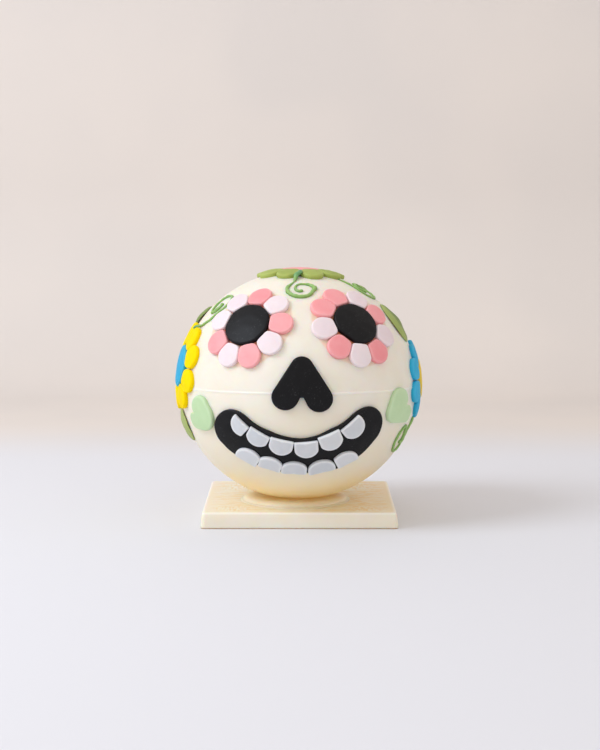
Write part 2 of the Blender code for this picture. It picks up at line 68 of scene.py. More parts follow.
Finishes = dict["Slot", bpy.types.Material]


class Slot(Enum):
    """The record's material slots."""

    IVORY_SHELL = "ivory_shell"
    IVORY_PLINTH = "ivory_plinth"
    PINK = "pink_paste"
    BLUSH = "blush_paste"
    BLACK = "black_paste"
    TOOTH = "tooth_paste"
    MINT = "mint_paste"
    YELLOW = "yellow_paste"
    SKY_BLUE = "sky_blue_paste"
    MARIGOLD = "marigold_paste"
    OLIVE = "olive_paste"
    VINE = "vine_icing"


def seeded(name: str) -> np.random.Generator:
    """The random draws that belong to one name."""
    return np.random.default_rng(list(name.encode()))


def smooth(share: Array) -> Array:
    """A share held between 0 and 1 and eased at both ends, 3s^2 - 2s^3."""
    held = np.clip(share, 0.0, 1.0)
    return held * held * (3 - 2 * held)


def ripples(points: Array, length: float, name: str) -> Array:
    """Smooth unevenness of about -1 to 1: a sum of sine waves that run in random directions.

    Args:
        points: places, with their coordinates last.
        length: the waves' usual length. Each of them is 0.6 to 1.6 times as tight.
        name: what the draws belong to.

    Returns:
        One value for each place.
    """
    draw = seeded(name)
    ways = draw.normal(size=(WAVES, points.shape[-1]))
    ways /= np.linalg.norm(ways, axis=1, keepdims=True)
    ways *= FULL_TURN / length * draw.uniform(0.6, 1.6, (WAVES, 1))
    phases = draw.uniform(0.0, FULL_TURN, WAVES)
    return np.sin(points @ ways.T + phases).sum(-1) / math.sqrt(WAVES)


def drawn_out(flat: Array, bearing: float, width: float, run: float, name: str) -> Array:
    """Unevenness of flat places whose crests run along one bearing.

    Args:
        flat: the places, x and y last.
        bearing: the crests' bearing in degrees.
        width: the usual distance from crest to crest.
        run: the usual length of a crest.
        name: what the draws belong to.

    Returns:
        One value for each place.
    """
    along = math.radians(bearing)
    turn = np.array([[math.cos(along), -math.sin(along)], [math.sin(along), math.cos(along)]])
    return ripples(flat @ turn * np.array([width / run, 1.0]), width, name)


def bearings(sides: int) -> Array:
    """Even bearings round a piece."""
    return np.arange(sides) * FULL_TURN / sides


def circle(angles: Array) -> Array:
    """Unit directions at bearings, x and y last."""
    return np.stack([np.cos(angles), np.sin(angles)], -1)


def corners_of(node: str) -> tuple[Array, Array]:
    """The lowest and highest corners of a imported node, in millimetres."""
    low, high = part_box(node)
    return np.array(low) / MM, np.array(high) / MM


def run_along(points: Array) -> Array:
    """The length of a line from its start to each of its points."""
    return np.concatenate([[0.0], np.cumsum(np.linalg.norm(np.diff(points, axis=0), axis=1))])


def doubled(below: Array, above: Array) -> Array:
    """Rows of an under sheet that turn back along an upper one."""
    return np.concatenate([below, above[:, ::-1]], axis=1)


def evened(points: Array, spacing: float, window: float) -> Array:
    """A smooth line through a few points: even steps along them, averaged over a sliding window.

    Args:
        points: the line's corners, one a row.
        spacing: the length of a step.
        window: the length that each average takes in.

    Returns:
        The line's points, with its two ends kept.
    """
    run = run_along(points)
    steps = max(int(run[-1] / spacing), 8)
    along = np.linspace(0.0, run[-1], steps + 1)
    line = np.column_stack([np.interp(along, run, part) for part in points.T])
    reach = max(int(window / spacing / 2), 1)
    kernel = np.hanning(2 * reach + 3)[1:-1]
    kernel /= kernel.sum()
    before = 2 * line[0] - line[reach:0:-1]
    after = 2 * line[-1] - line[-2 : -reach - 2 : -1]
    padded = np.vstack([before, line, after])
    return np.column_stack([np.convolve(part, kernel, "valid") for part in padded.T])


class Term:
    """One value of a material's nodes. Python arithmetic on it adds Math nodes."""

    def __init__(self, graph: "Graph", socket: bpy.types.NodeSocket) -> None:
        """Keep the graph and the output socket that the value comes from."""
        self.graph = graph
        self.socket = socket

    def math(self, operation: str, *values: "Value") -> "Term":
        """The value of one Math node."""
        return self.graph.node("ShaderNodeMath", {"operation": operation}, dict(enumerate(values)))

    def __add__(self, other: "Value") -> "Term":
        """This plus another."""
        return self.math("ADD", self, other)

    def __sub__(self, other: "Value") -> "Term":
        """This less another."""
        return self.math("SUBTRACT", self, other)

    def __rsub__(self, other: "Value") -> "Term":
        """Another less this."""
        return self.math("SUBTRACT", other, self)

    def __mul__(self, other: "Value") -> "Term":
        """This times another."""
        return self.math("MULTIPLY", self, other)

    def __truediv__(self, other: "Value") -> "Term":
        """This over another."""
        return self.math("DIVIDE", self, other)

    def __rtruediv__(self, other: "Value") -> "Term":
        """Another over this."""
        return self.math("DIVIDE", other, self)

    __radd__ = __add__
    __rmul__ = __mul__

    def between(self, low: float, high: float) -> "Term":
        """0 below one bound and 1 above the other, eased between them."""
        settings = {"interpolation_type": "SMOOTHSTEP"}
        return self.graph.node("ShaderNodeMapRange", settings, {0: self, 1: low, 2: high})


Value = Union[Term, float, Colour]


class Graph:
    """A material that is written as expressions."""

    def __init__(self, name: str) -> None:
        """Start an empty node tree with the object's own coordinates at hand.

        Args:
            name: the material's name.
        """
        self.material = bpy.data.materials.new(name)
        self.material.use_nodes = True
        self.tree = self.material.node_tree
        self.tree.nodes.clear()
        self.place = self.node("ShaderNodeTexCoord", {}, {}, "Object")

    def node(
        self,
        kind: str,
        settings: dict[str, object],
        sockets: dict[Union[int, str], Value],
        output: Union[int, str] = 0,
    ) -> Term:
        """Add one node.

        Args:
            kind: the node's type.
            settings: its properties, set first.
            sockets: values or links for its inputs, by name or number.
            output: the output that is wanted.

        Returns:
            That output's value.
        """
        made = self.tree.nodes.new(kind)
        for key, setting in settings.items():
            setattr(made, key, setting)
        for key, value in sockets.items():
            if isinstance(value, Term):
                self.tree.links.new(value.socket, made.inputs[key])
            elif isinstance(value, tuple) and made.inputs[key].type == "RGBA":
                made.inputs[key].default_value = (*value, 1.0)
            else:
                made.inputs[key].default_value = value
        return Term(self, made.outputs[output])

    def mark(self, name: str) -> Term:
        """An attribute of the piece's own points."""
        return self.node("ShaderNodeAttribute", {"attribute_name": name}, {}, "Fac")

    def vector(self, operation: str, *values: Value, output: str = "Vector") -> Term:
        """The result of one Vector Math node."""
        sockets = dict(enumerate(values))
        return self.node("ShaderNodeVectorMath", {"operation": operation}, sockets, output)

    def part(self, vector: Term, axis: str) -> Term:
        """A vector's part along one axis."""
        return self.node("ShaderNodeSeparateXYZ", {}, {0: vector}, axis)

    def noise(self, length: float, detail: float = 2.0, stretch: Place = (1.0, 1.0, 1.0)) -> Term:
        """Noise of 0 to 1 in patches.

        Args:
            length: how wide a patch is, in millimetres.
            detail: how many finer layers lie in it.
            stretch: how far the patches are drawn out along each axis.

        Returns:
            The noise.
        """
        scale = tuple(1.0 / part for part in stretch)
        place = self.node("ShaderNodeMapping", {}, {"Vector": self.place, "Scale": scale})
        return self.node(
            "ShaderNodeTexNoise",
            {},
            {"Vector": place, "Scale": 1.0 / (length * MM), "Detail": detail, "Roughness": 0.55},
        )

    def mix(self, share: Value, first: Value, second: Value) -> Term:
        """A colour between two."""
        return self.node("ShaderNodeMix", {"data_type": "RGBA"}, {0: share, 6: first, 7: second}, 2)

    def bump(self, height: Term, depth: float) -> Term:
        """A normal for relief whose height of 1 stands for a depth in millimetres."""
        sockets = {"Strength": 1.0, "Distance": depth * MM, "Height": height}
        return self.node("ShaderNodeBump", {}, sockets)

    def finished(
        self, colour: Value, roughness: Value, normal: Term, **constants: object
    ) -> bpy.types.Material:
        """The material, with a Principled shader on it.

        Args:
            colour: the base colour.
            roughness: the roughness.
            normal: the normal.
            constants: its other sockets, by their names with _ for a space.

        Returns:
            The material.
        """
        sockets = {"Base Color": colour, "Roughness": roughness, "Normal": normal}
        sockets.update({key.replace("_", " "): value for key, value in constants.items()})
        shader = self.node("ShaderNodeBsdfPrincipled", {}, sockets)
        end = self.tree.nodes.new("ShaderNodeOutputMaterial")
        self.tree.links.new(shader.socket, end.inputs["Surface"])
        return self.material


@dataclass(frozen=True)
class BallForm:
    """The ball's own frame: a slightly low ball that leans back.

    Attributes:
        centre: the ball's middle.
        radius: its half width.
        half_height: its half height.
        lean: how far its top leans back.
    """

    centre: Array
    radius: float
    half_height: float = 72.2
    lean: float = 2.1

    @classmethod
    def of_frame(cls, bead: float) -> "BallForm":
        """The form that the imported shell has, whose bead stands a little proud."""
        low, high = corners_of("ball_shell")
        return cls((low + high) / 2, float(high[0] - low[0]) / 2 - bead)

    @property
    def axes(self) -> Array:
        """Its half axes."""
        return np.array([self.radius, self.radius, self.half_height])

    def placed(self, points: Array) -> Array:
        """Points of the ball's own frame in the world: leaned back about X, then moved.

        Args:
            points: the points, with their coordinates last.

        Returns:
            The points in metres.
        """
        cosine, sine = math.cos(math.radians(self.lean)), math.sin(math.radians(self.lean))
        x, y, z = np.moveaxis(points, -1, 0)
        leaned = np.stack([x, y * cosine + z * sine, z * cosine - y * sine], axis=-1)
        return (leaned + self.centre) * MM

    def direction(self, longitude: float, latitude: float) -> Array:
        """The unit direction from the ball's middle, in its own frame.

        Args:
            longitude: degrees round to the viewer's right.
            latitude: degrees up.

        Returns:
            The direction.
        """
        around, above = math.radians(longitude), math.radians(latitude)
        flat = math.cos(above)
        return np.array([math.sin(around) * flat, -math.cos(around) * flat, math.sin(above)])


@dataclass(frozen=True)
class Patch:
    """A flat sheet wrapped on the ball about one direction of it.

    Attributes:
        ball: the ball's form.
        longitude: of the sheet's middle.
        latitude: of the sheet's middle.
        turn: how far the sheet is turned clockwise about that.
    """

    ball: BallForm
    longitude: float
    latitude: float
    turn: float = 0.0

    def wrap(self, x: Array, y: Array, lift: Array) -> Array:
        """World points of the sheet: its radius becomes an angle, and lift goes along the normal.

        Args:
            x: distances to the right.
            y: distances up.
            lift: heights off the shell.

        Returns:
            Points in metres, with their coordinates last.
        """
        out = self.ball.direction(self.longitude, self.latitude)
        around = math.radians(self.longitude)
        east = np.array([math.cos(around), math.sin(around), 0.0])
        north = np.cross(out, east)
        swing = math.radians(self.turn)
        right = math.cos(swing) * east - math.sin(swing) * north
        up = math.sin(swing) * east + math.cos(swing) * north
        x, y, lift = np.broadcast_arrays(x, y, lift)
        reach = np.hypot(x, y)
        angle = reach / self.ball.radius
        share = np.sin(angle) / np.maximum(reach, 1e-9)
        unit = np.cos(angle)[..., None] * out
        unit = unit + (share * x)[..., None] * right + (share * y)[..., None] * up
        normal = unit / self.ball.axes
        normal /= np.linalg.norm(normal, axis=-1, keepdims=True)
        return self.ball.placed(unit * self.ball.axes + normal * lift[..., None])


@dataclass(frozen=True)
class Sheet:
    """A grid of points and the values that its material reads.

    Attributes:
        grid: the points in metres, by row and column.
        marks: the values at them.
        wraps: whether each row closes on itself.
    """

    grid: Array
    marks: dict[str, Array] = field(default_factory=dict)
    wraps: bool = True

    def faces(self, first: int) -> Array:
        """Each cell's four corners.

        Args:
            first: the number of the grid's first point.

        Returns:
            The points' numbers, a cell a row.
        """
        rows, columns = self.grid.shape[:2]
        index = first + np.arange(rows * columns).reshape(rows, columns)
        beside = np.roll(index, -1, axis=1) if self.wraps else index[:, 1:]
        here = index if self.wraps else index[:, :-1]
        return np.stack([here[:-1], beside[:-1], beside[1:], here[1:]], axis=-1).reshape(-1, 4)


def surface(name: str, *sheets: Sheet) -> bpy.types.Object:
    """A smooth-shaded mesh of sheets, with the points along their seams and joints merged.

    Args:
        name: the piece's name.
        sheets: what it is made of.

    Returns:
        The object, at the origin.
    """
    first = np.cumsum([0] + [sheet.grid[..., 0].size for sheet in sheets])
    points = np.concatenate([sheet.grid.reshape(-1, 3) for sheet in sheets])
    corners = np.concatenate([sheet.faces(start) for sheet, start in zip(sheets, first)])
    mesh = bpy.data.meshes.new(name)
    mesh.from_pydata(points.tolist(), [], corners.tolist())
    for key in sheets[0].marks:
        values = [np.broadcast_to(part.marks[key], part.grid.shape[:2]).ravel() for part in sheets]
        values = np.concatenate(values).astype(np.float32)
        mesh.attributes.new(key, "FLOAT", "POINT").data.foreach_set("value", values)
    body = bmesh.new()
    body.from_mesh(mesh)
    bmesh.ops.remove_doubles(body, verts=body.verts, dist=MERGED)
    bmesh.ops.recalc_face_normals(body, faces=body.faces)
    body.to_mesh(mesh)
    body.free()
    mesh.shade_smooth()
    made = bpy.data.objects.new(name, mesh)
    bpy.context.scene.collection.objects.link(made)
    return made


def enlist(piece: bpy.types.Object, material: bpy.types.Material, slot: Slot, node: str) -> None:
    """Dress a piece, make it ride with the part and stand for its solid.

    Args:
        piece: the piece.
        material: its finish.
        slot: the record's slot that the finish belongs to; not used.
        node: the solid.
    """
    piece.data.materials.append(material)
    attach(piece, "root")
    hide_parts(node)
    LOG.info("%s: %d faces, for %s", piece.name, len(piece.data.polygons), node)


def pressed(
    angles: Array,
    axes: Point,
    walls: Sequence[Point],
    turn: float,
    power: float,
) -> Array:
    """Reach of an oval that straight walls press: the least of all their reaches, corners rounded.

    Args:
        angles: bearings from the middle.
        axes: the oval's half axes.
        walls: each wall's bearing in degrees and its distance.
        turn: the oval's own bearing in degrees.
        power: the higher, the sharper the corners.

    Returns:
        The reach at each bearing.
    """
    own = angles - math.radians(turn)
    total = np.hypot(np.cos(own) / axes[0], np.sin(own) / axes[1]) ** power
    for bearing, distance in walls:
        towards = np.maximum(np.cos(angles - math.radians(bearing)), 0.0)
        total = total + (towards / distance) ** power
    return total ** (-1 / power)


def wavering(outline: Array, name: str, amount: float) -> Array:
    """An outline with a hand-cut waver: a few long waves round it, the longer the stronger.

    Args:
        outline: its reach at even bearings.
        name: what the draws belong to.
        amount: how strong one wave round it would be, as a share of the reach.

    Returns:
        The reach at the same bearings.
    """
    draw = seeded(name)
    angles = bearings(len(outline))
    waves = np.arange(2, 7)
    phases = draw.uniform(0.0, FULL_TURN, len(waves))
    sizes = draw.normal(0.0, amount, len(waves)) / waves
    return outline * (1 + (sizes * np.cos(angles[:, None] * waves + phases)).sum(1))


def polar(outline: Array) -> Array:
    """The points of a reach for each bearing."""
    return outline[:, None] * circle(bearings(len(outline)))


@dataclass(frozen=True)
class Rolled:
    """How a piece of rolled paste is cut: flat below, round at its edge and slightly crowned above.

    Attributes:
        thick: from the shell's lift to the top of its edge.
        base: lift of its underside, just sunk in what it lies on.
        lift: lift that its thickness counts from.
        edge: the width of its upper round.
        tuck: how far its lower edge draws in.
        crown: how much higher its middle is, as a share of its thickness.
        dents: depth of its dents.
        dent_length: their usual length.
        waist: the height where it is widest, as a share of the whole.
        squareness: the power of its upper round; a round one has 1.
        rim: the width of the band along its edge that is marked for the finish.
        round_rows: rows of its mesh in the upper round.
        top_rows: rows of its mesh from there to the spine.
    """

    thick: float
    base: float = -0.3
    lift: float = 0.5
    edge: float = 1.1
    tuck: float = 0.25
    crown: float = 0.03
    dents: float = 0.05
    dent_length: float = 7.0
    waist: float = 0.38
    squareness: float = 0.85
    # rim: the width of the band along its edge that is marked for the finish's painted edge
    # highlight.
    rim: float = 2.2
    round_rows: int = 8
    top_rows: int = 14

    def piece(
        self, name: str, patch: Patch, middle: Point, outline: Array, spine: Array
    ) -> bpy.types.Object:
        """The piece as a profile carried round its outline.

        Below its waist the profile is tucked in. Above it, it is a quarter of a squarish oval, and
        then rises slowly to the spine, the place or line in the middle that all rows close on.

        Args:
            name: the piece's name.
            patch: the sheet that it lies on.
            middle: where on the sheet.
            outline: its edge's points about the middle.
            spine: the inner point that belongs to each point of the edge.

        Returns:
            The object.
        """
        top = self.lift + self.thick
        waist = self.base + self.waist * (top - self.base)
        quarter = np.linspace(0.0, QUARTER_TURN, self.round_rows)
        inward = np.linspace(0.0, 1.0, self.top_rows + 1)[1:]
        inset = np.concatenate(
            [
                [self.tuck, self.tuck],
                self.tuck * (1 - np.sin(quarter[1:-1])),
                self.edge * (1 - np.cos(quarter) ** self.squareness),
                np.full(self.top_rows, self.edge),
            ]
        )
        keep = np.concatenate([[0.0], np.ones(2 * self.round_rows - 1), 1 - inward])
        height = np.concatenate(
            [
                [self.base, self.base],
                self.base + (waist - self.base) * np.linspace(0.1, 0.9, self.round_rows - 2),
                waist + (top - waist) * np.sin(quarter) ** self.squareness,
                top + self.crown * self.thick * (1 - (1 - inward) ** 2),
            ]
        )
        away = outline - spine
        reach = np.maximum(np.linalg.norm(away, axis=1), 1e-6)
        share = keep[:, None] * np.maximum(1 - inset[:, None] / reach, 0.0)
        flat = np.array(middle) + spine + away * share[..., None]
        upper = smooth((height - waist) / (top - waist))[:, None]
        relief = self.dents * ripples(flat, self.dent_length, name) * upper
        grid = patch.wrap(flat[..., 0], flat[..., 1], height[:, None] + relief)
        depth = reach - np.linalg.norm(flat - np.array(middle) - spine, axis=-1)
        marks = {
            # The rim band is where the painted edge highlight goes.
            "rim": (1 - smooth(depth / self.rim)) * upper,
            "foot": 1 - upper,
            "tone": np.array(seeded(name).uniform()),
        }
        return surface(name, Sheet(grid, marks))

    def round_piece(
        self, name: str, patch: Patch, middle: Point, outline: Array
    ) -> bpy.types.Object:
        """A piece that closes on one middle, from a reach for each bearing."""
        edge = polar(outline)
        return self.piece(name, patch, middle, edge, np.zeros_like(edge))


def wall_between(here: Array, there: Array, radii: Point, gap: float) -> Point:
    """The straight wall where two round pieces press on each other.

    Args:
        here: the middle of the one.
        there: the middle of the other.
        radii: their radii.
        gap: the space left between them.

    Returns:
        The wall's bearing in degrees and its distance, from here.
    """
    offset = np.subtract(there, here)
    apart = math.hypot(*offset)
    distance = (apart**2 + radii[0] ** 2 - radii[1] ** 2) / (2 * apart) - gap / 2
    return math.degrees(math.atan2(offset[1], offset[0])), distance


@dataclass(frozen=True)
class Wreath:
    """A disc in a ring of petals that press on each other.

    Attributes:
        name: the first part of its pieces' names.
        bearings_deg: the petals' bearings.
        reaches: from the disc's middle to each petal's.
        disc_radius: the disc's radius before it is pressed.
        petal_axes: a petal's half length, away from the disc, and its half width.
        petal_cut: how the petals are rolled.
        disc_cut: how the disc is rolled.
        gap: between neighbours, less than nothing where they press.
        disc_gap: between the disc and each petal.
        disc_flats: the bearing and distance of flats pressed into the disc.
    """

    name: str
    bearings_deg: Sequence[float]
    reaches: Sequence[float]
    disc_radius: float
    petal_axes: Point
    petal_cut: Rolled
    disc_cut: Rolled
    gap: float = -0.04
    disc_gap: float = 0.1
    disc_flats: Sequence[Point] = ()

    def middles(self) -> Array:
        """The petals' middles on the patch."""
        return np.array(self.reaches)[:, None] * circle(np.radians(self.bearings_deg))

    def petals(self, patch: Patch) -> list[bpy.types.Object]:
        """The petals: each an uneven oval that its neighbours and the disc press flat.

        Args:
            patch: the sheet that they lie on.

        Returns:
            The petals in their order.
        """
        middles = self.middles()
        angles = bearings(96)
        made = []
        for index, middle in enumerate(middles):
            name = f"{self.name}_petal_{index + 1}"
            draw = seeded(name)
            beside = (middles[index - 1], middles[(index + 1) % len(middles)])
            walls = [wall_between(middle, other, (1.0, 1.0), self.gap) for other in beside]
            inner = (self.petal_axes[0], self.disc_radius)
            walls.append(wall_between(middle, np.zeros(2), inner, self.disc_gap))
            axes = np.array(self.petal_axes) * (1 + draw.normal(0.0, 0.015, 2))
            turn = self.bearings_deg[index] + draw.normal(0.0, 9.0)
            outline = pressed(angles, (axes[0], axes[1]), walls, turn, 20.0)
            outline = wavering(outline, name, 0.014)
            made.append(self.petal_cut.round_piece(name, patch, tuple(middle), outline))
        return made

    def disc(self, patch: Patch) -> bpy.types.Object:
        """The disc, lightly flattened by each petal.

        Args:
            patch: the sheet that it lies on.

        Returns:
            The disc.
        """
        radii = (self.disc_radius, self.petal_axes[0])
        walls = [
            wall_between(np.zeros(2), middle, radii, self.disc_gap) for middle in self.middles()
        ]
        walls.extend(self.disc_flats)
        outline = pressed(bearings(180), (self.disc_radius,) * 2, walls, 0.0, 22.0)
        name = f"{self.name}_centre"
        return self.disc_cut.round_piece(name, patch, (0.0, 0.0), wavering(outline, name, 0.006))


@dataclass(frozen=True)
class Paste:
    """Rolled modelling paste: matt, slightly mottled, with a painted highlight along its edge.

    Attributes:
        slot: the record's slot.
        deep: its colour at the darkest.
        pale: its colour at the lightest.
        edge: its painted highlight colour at the rim.
        edge_highlight_share: how much of that painted highlight shows.
        roughness: the least roughness.
        powder: how much starch dust lies on it.
        glow: how much light goes through it.
        gloss: its specular level.
    """

    slot: Slot
    deep: Colour
    pale: Colour
    edge: Colour
    edge_highlight_share: float = 0.35
    roughness: float = 0.52
    powder: float = 0.0
    glow: float = 0.18
    gloss: float = 0.3

    def material(self) -> bpy.types.Material:
        """Its nodes, joined up.

        Returns:
            The material.
        """
        graph = Graph(self.slot.value)
        cloud = graph.noise(9.0, 3.0)
        grain = graph.noise(0.9, 4.0)
        share = (cloud - 0.5) * 0.9 + (graph.mark("tone") - 0.5) * 0.6 + 0.5
        colour = graph.mix(share.between(0.0, 1.0), self.deep, self.pale)
        # Painted highlight: the band along the rim is lightened towards the edge colour.
        rim = graph.mark("rim") * (grain * 0.5 + 0.6)
        colour = graph.mix(rim * self.edge_highlight_share, colour, self.edge)
        specks = graph.noise(0.6, 1.0).between(0.66, 0.72) * graph.noise(6.0).between(0.4, 0.6)
        dust = tuple(0.5 + 0.5 * part for part in self.pale)
        colour = graph.mix(specks * self.powder, colour, dust)
        rough = grain * 0.12 + self.roughness
        height = grain * 0.35 + graph.noise(3.0, 2.0) * 0.65
        return graph.finished(
            colour,
            rough,
            graph.bump(height, 0.07),
            Subsurface_Weight=self.glow,
            Subsurface_Radius=(1.0, 0.6, 0.4),
            Subsurface_Scale=1.2 * MM,
            Specular_IOR_Level=self.gloss,
        )


@dataclass(frozen=True)
class PipedIcing:
    """Piped green icing: glossier than the paste, darker low on its sides and paler along its
    crest.

    Attributes:
        deep: its colour low on its sides.
        pale: its colour along its crest.
        blue: its bluer colour where it is piled up off the shell.
    """

    deep: Colour = (0.16, 0.33, 0.05)
    pale: Colour = (0.30, 0.50, 0.15)
    blue: Colour = (0.10, 0.34, 0.16)

    def material(self) -> bpy.types.Material:
        """Its nodes, joined up.

        Returns:
            The material.
        """
        graph = Graph(Slot.VINE.value)
        share = graph.noise(2.4, 3.0) * 0.5 + graph.mark("crest") * 0.6
        colour = graph.mix(share.between(0.15, 0.95), self.deep, self.pale)
        colour = graph.mix(graph.mark("raised") * 0.7, colour, self.blue)
        fine = graph.noise(0.8, 3.0)
        return graph.finished(
            colour,
            fine * 0.15 + 0.36,
            graph.bump(fine, 0.08),
            Subsurface_Weight=0.2,
            Subsurface_Radius=(0.6, 1.0, 0.3),
            Subsurface_Scale=1.0 * MM,
            Coat_Weight=0.15,
            Coat_Roughness=0.3,
        )


@dataclass(frozen=True)
class LeafPaste:
    """Olive green paste with a yellower side of painted light and fine lines that run along the
    leaf.

    Attributes:
        deep: its colour at the darkest.
        pale: its colour at the lightest.
        sunlit: the painted light colour of the side beyond the midrib.
        under: the underside's colour.
    """

    deep: Colour = (0.15, 0.23, 0.05)
    pale: Colour = (0.25, 0.34, 0.085)
    sunlit: Colour = (0.46, 0.55, 0.16)
    under: Colour = (0.20, 0.23, 0.065)

    def material(self) -> bpy.types.Material:
        """Its nodes, joined up.

        Returns:
            The material.
        """
        graph = Graph("leaf_paste")
        cloud = graph.noise(5.0, 3.0)
        lines = graph.mark("lines")
        share = cloud * 0.5 + lines * 0.55
        colour = graph.mix(share.between(0.2, 0.9), self.deep, self.pale)
        # Painted light: one side of the midrib is lighter and yellower.
        colour = graph.mix(graph.mark("painted_light") * 0.65, colour, self.sunlit)
        colour = graph.mix(graph.mark("under") * 0.8, colour, self.under)
        grain = graph.noise(0.8, 3.0)
        return graph.finished(
            colour,
            grain * 0.12 + 0.44,
            graph.bump(grain * 0.5 + graph.noise(2.5) * 0.5, 0.08),
            Subsurface_Weight=0.15,
            Subsurface_Radius=(0.8, 1.0, 0.3),
            Subsurface_Scale=1.0 * MM,
        )


@dataclass(frozen=True)
class WhiteChocolate:
    """Cast white chocolate: a satin skin, light that goes well in, painted amber shade where it
    looks down and a painted glow.

    Attributes:
        name: the material's name.
        pale: its colour at the lightest.
        warm: its colour at the warmest.
        amber: its amber colour, mostly painted as shade where light would come to it through
            chocolate only.
        roughness: the least roughness.
    """

    name: str
    pale: Colour = (0.89, 0.85, 0.75)
    warm: Colour = (0.87, 0.81, 0.68)
    amber: Colour = (0.95, 0.77, 0.44)
    roughness: float = 0.36

    def skin(self, graph: Graph) -> Term:
        """Its mottled colour away from any shade."""
        cloud = graph.noise(42.0, 2.0) * 0.6 + graph.noise(7.0, 3.0) * 0.4
        return graph.mix(cloud.between(0.3, 0.7), self.pale, self.warm)

    def finished(
        self,
        graph: Graph,
        colour: Term,
        height: Term,
        depth: float,
        through: Term,
        painted_light: Colour,
    ) -> bpy.types.Material:
        """Its shader.

        Args:
            graph: the material.
            colour: its colour.
            height: its relief, of 0 to 1.
            depth: how deep that is, in millimetres.
            through: where a painted glow comes out of it, for light that went in elsewhere.
            painted_light: that painted glow's colour.

        Returns:
            The material.
        """
        return graph.finished(
            colour,
            graph.noise(5.0, 3.0) * 0.12 + self.roughness,
            graph.bump(height, depth),
            # Painted glow: an emission that stands for light coming through the chocolate.
            Emission_Color=graph.mix(through, (0.0, 0.0, 0.0), painted_light),
            Emission_Strength=1.0,
            Subsurface_Weight=0.55,
            Subsurface_Radius=(1.0, 0.62, 0.32),
            Subsurface_Scale=4.0 * MM,
            IOR=1.46,
            Coat_Weight=0.12,
            Coat_Roughness=0.28,
        )


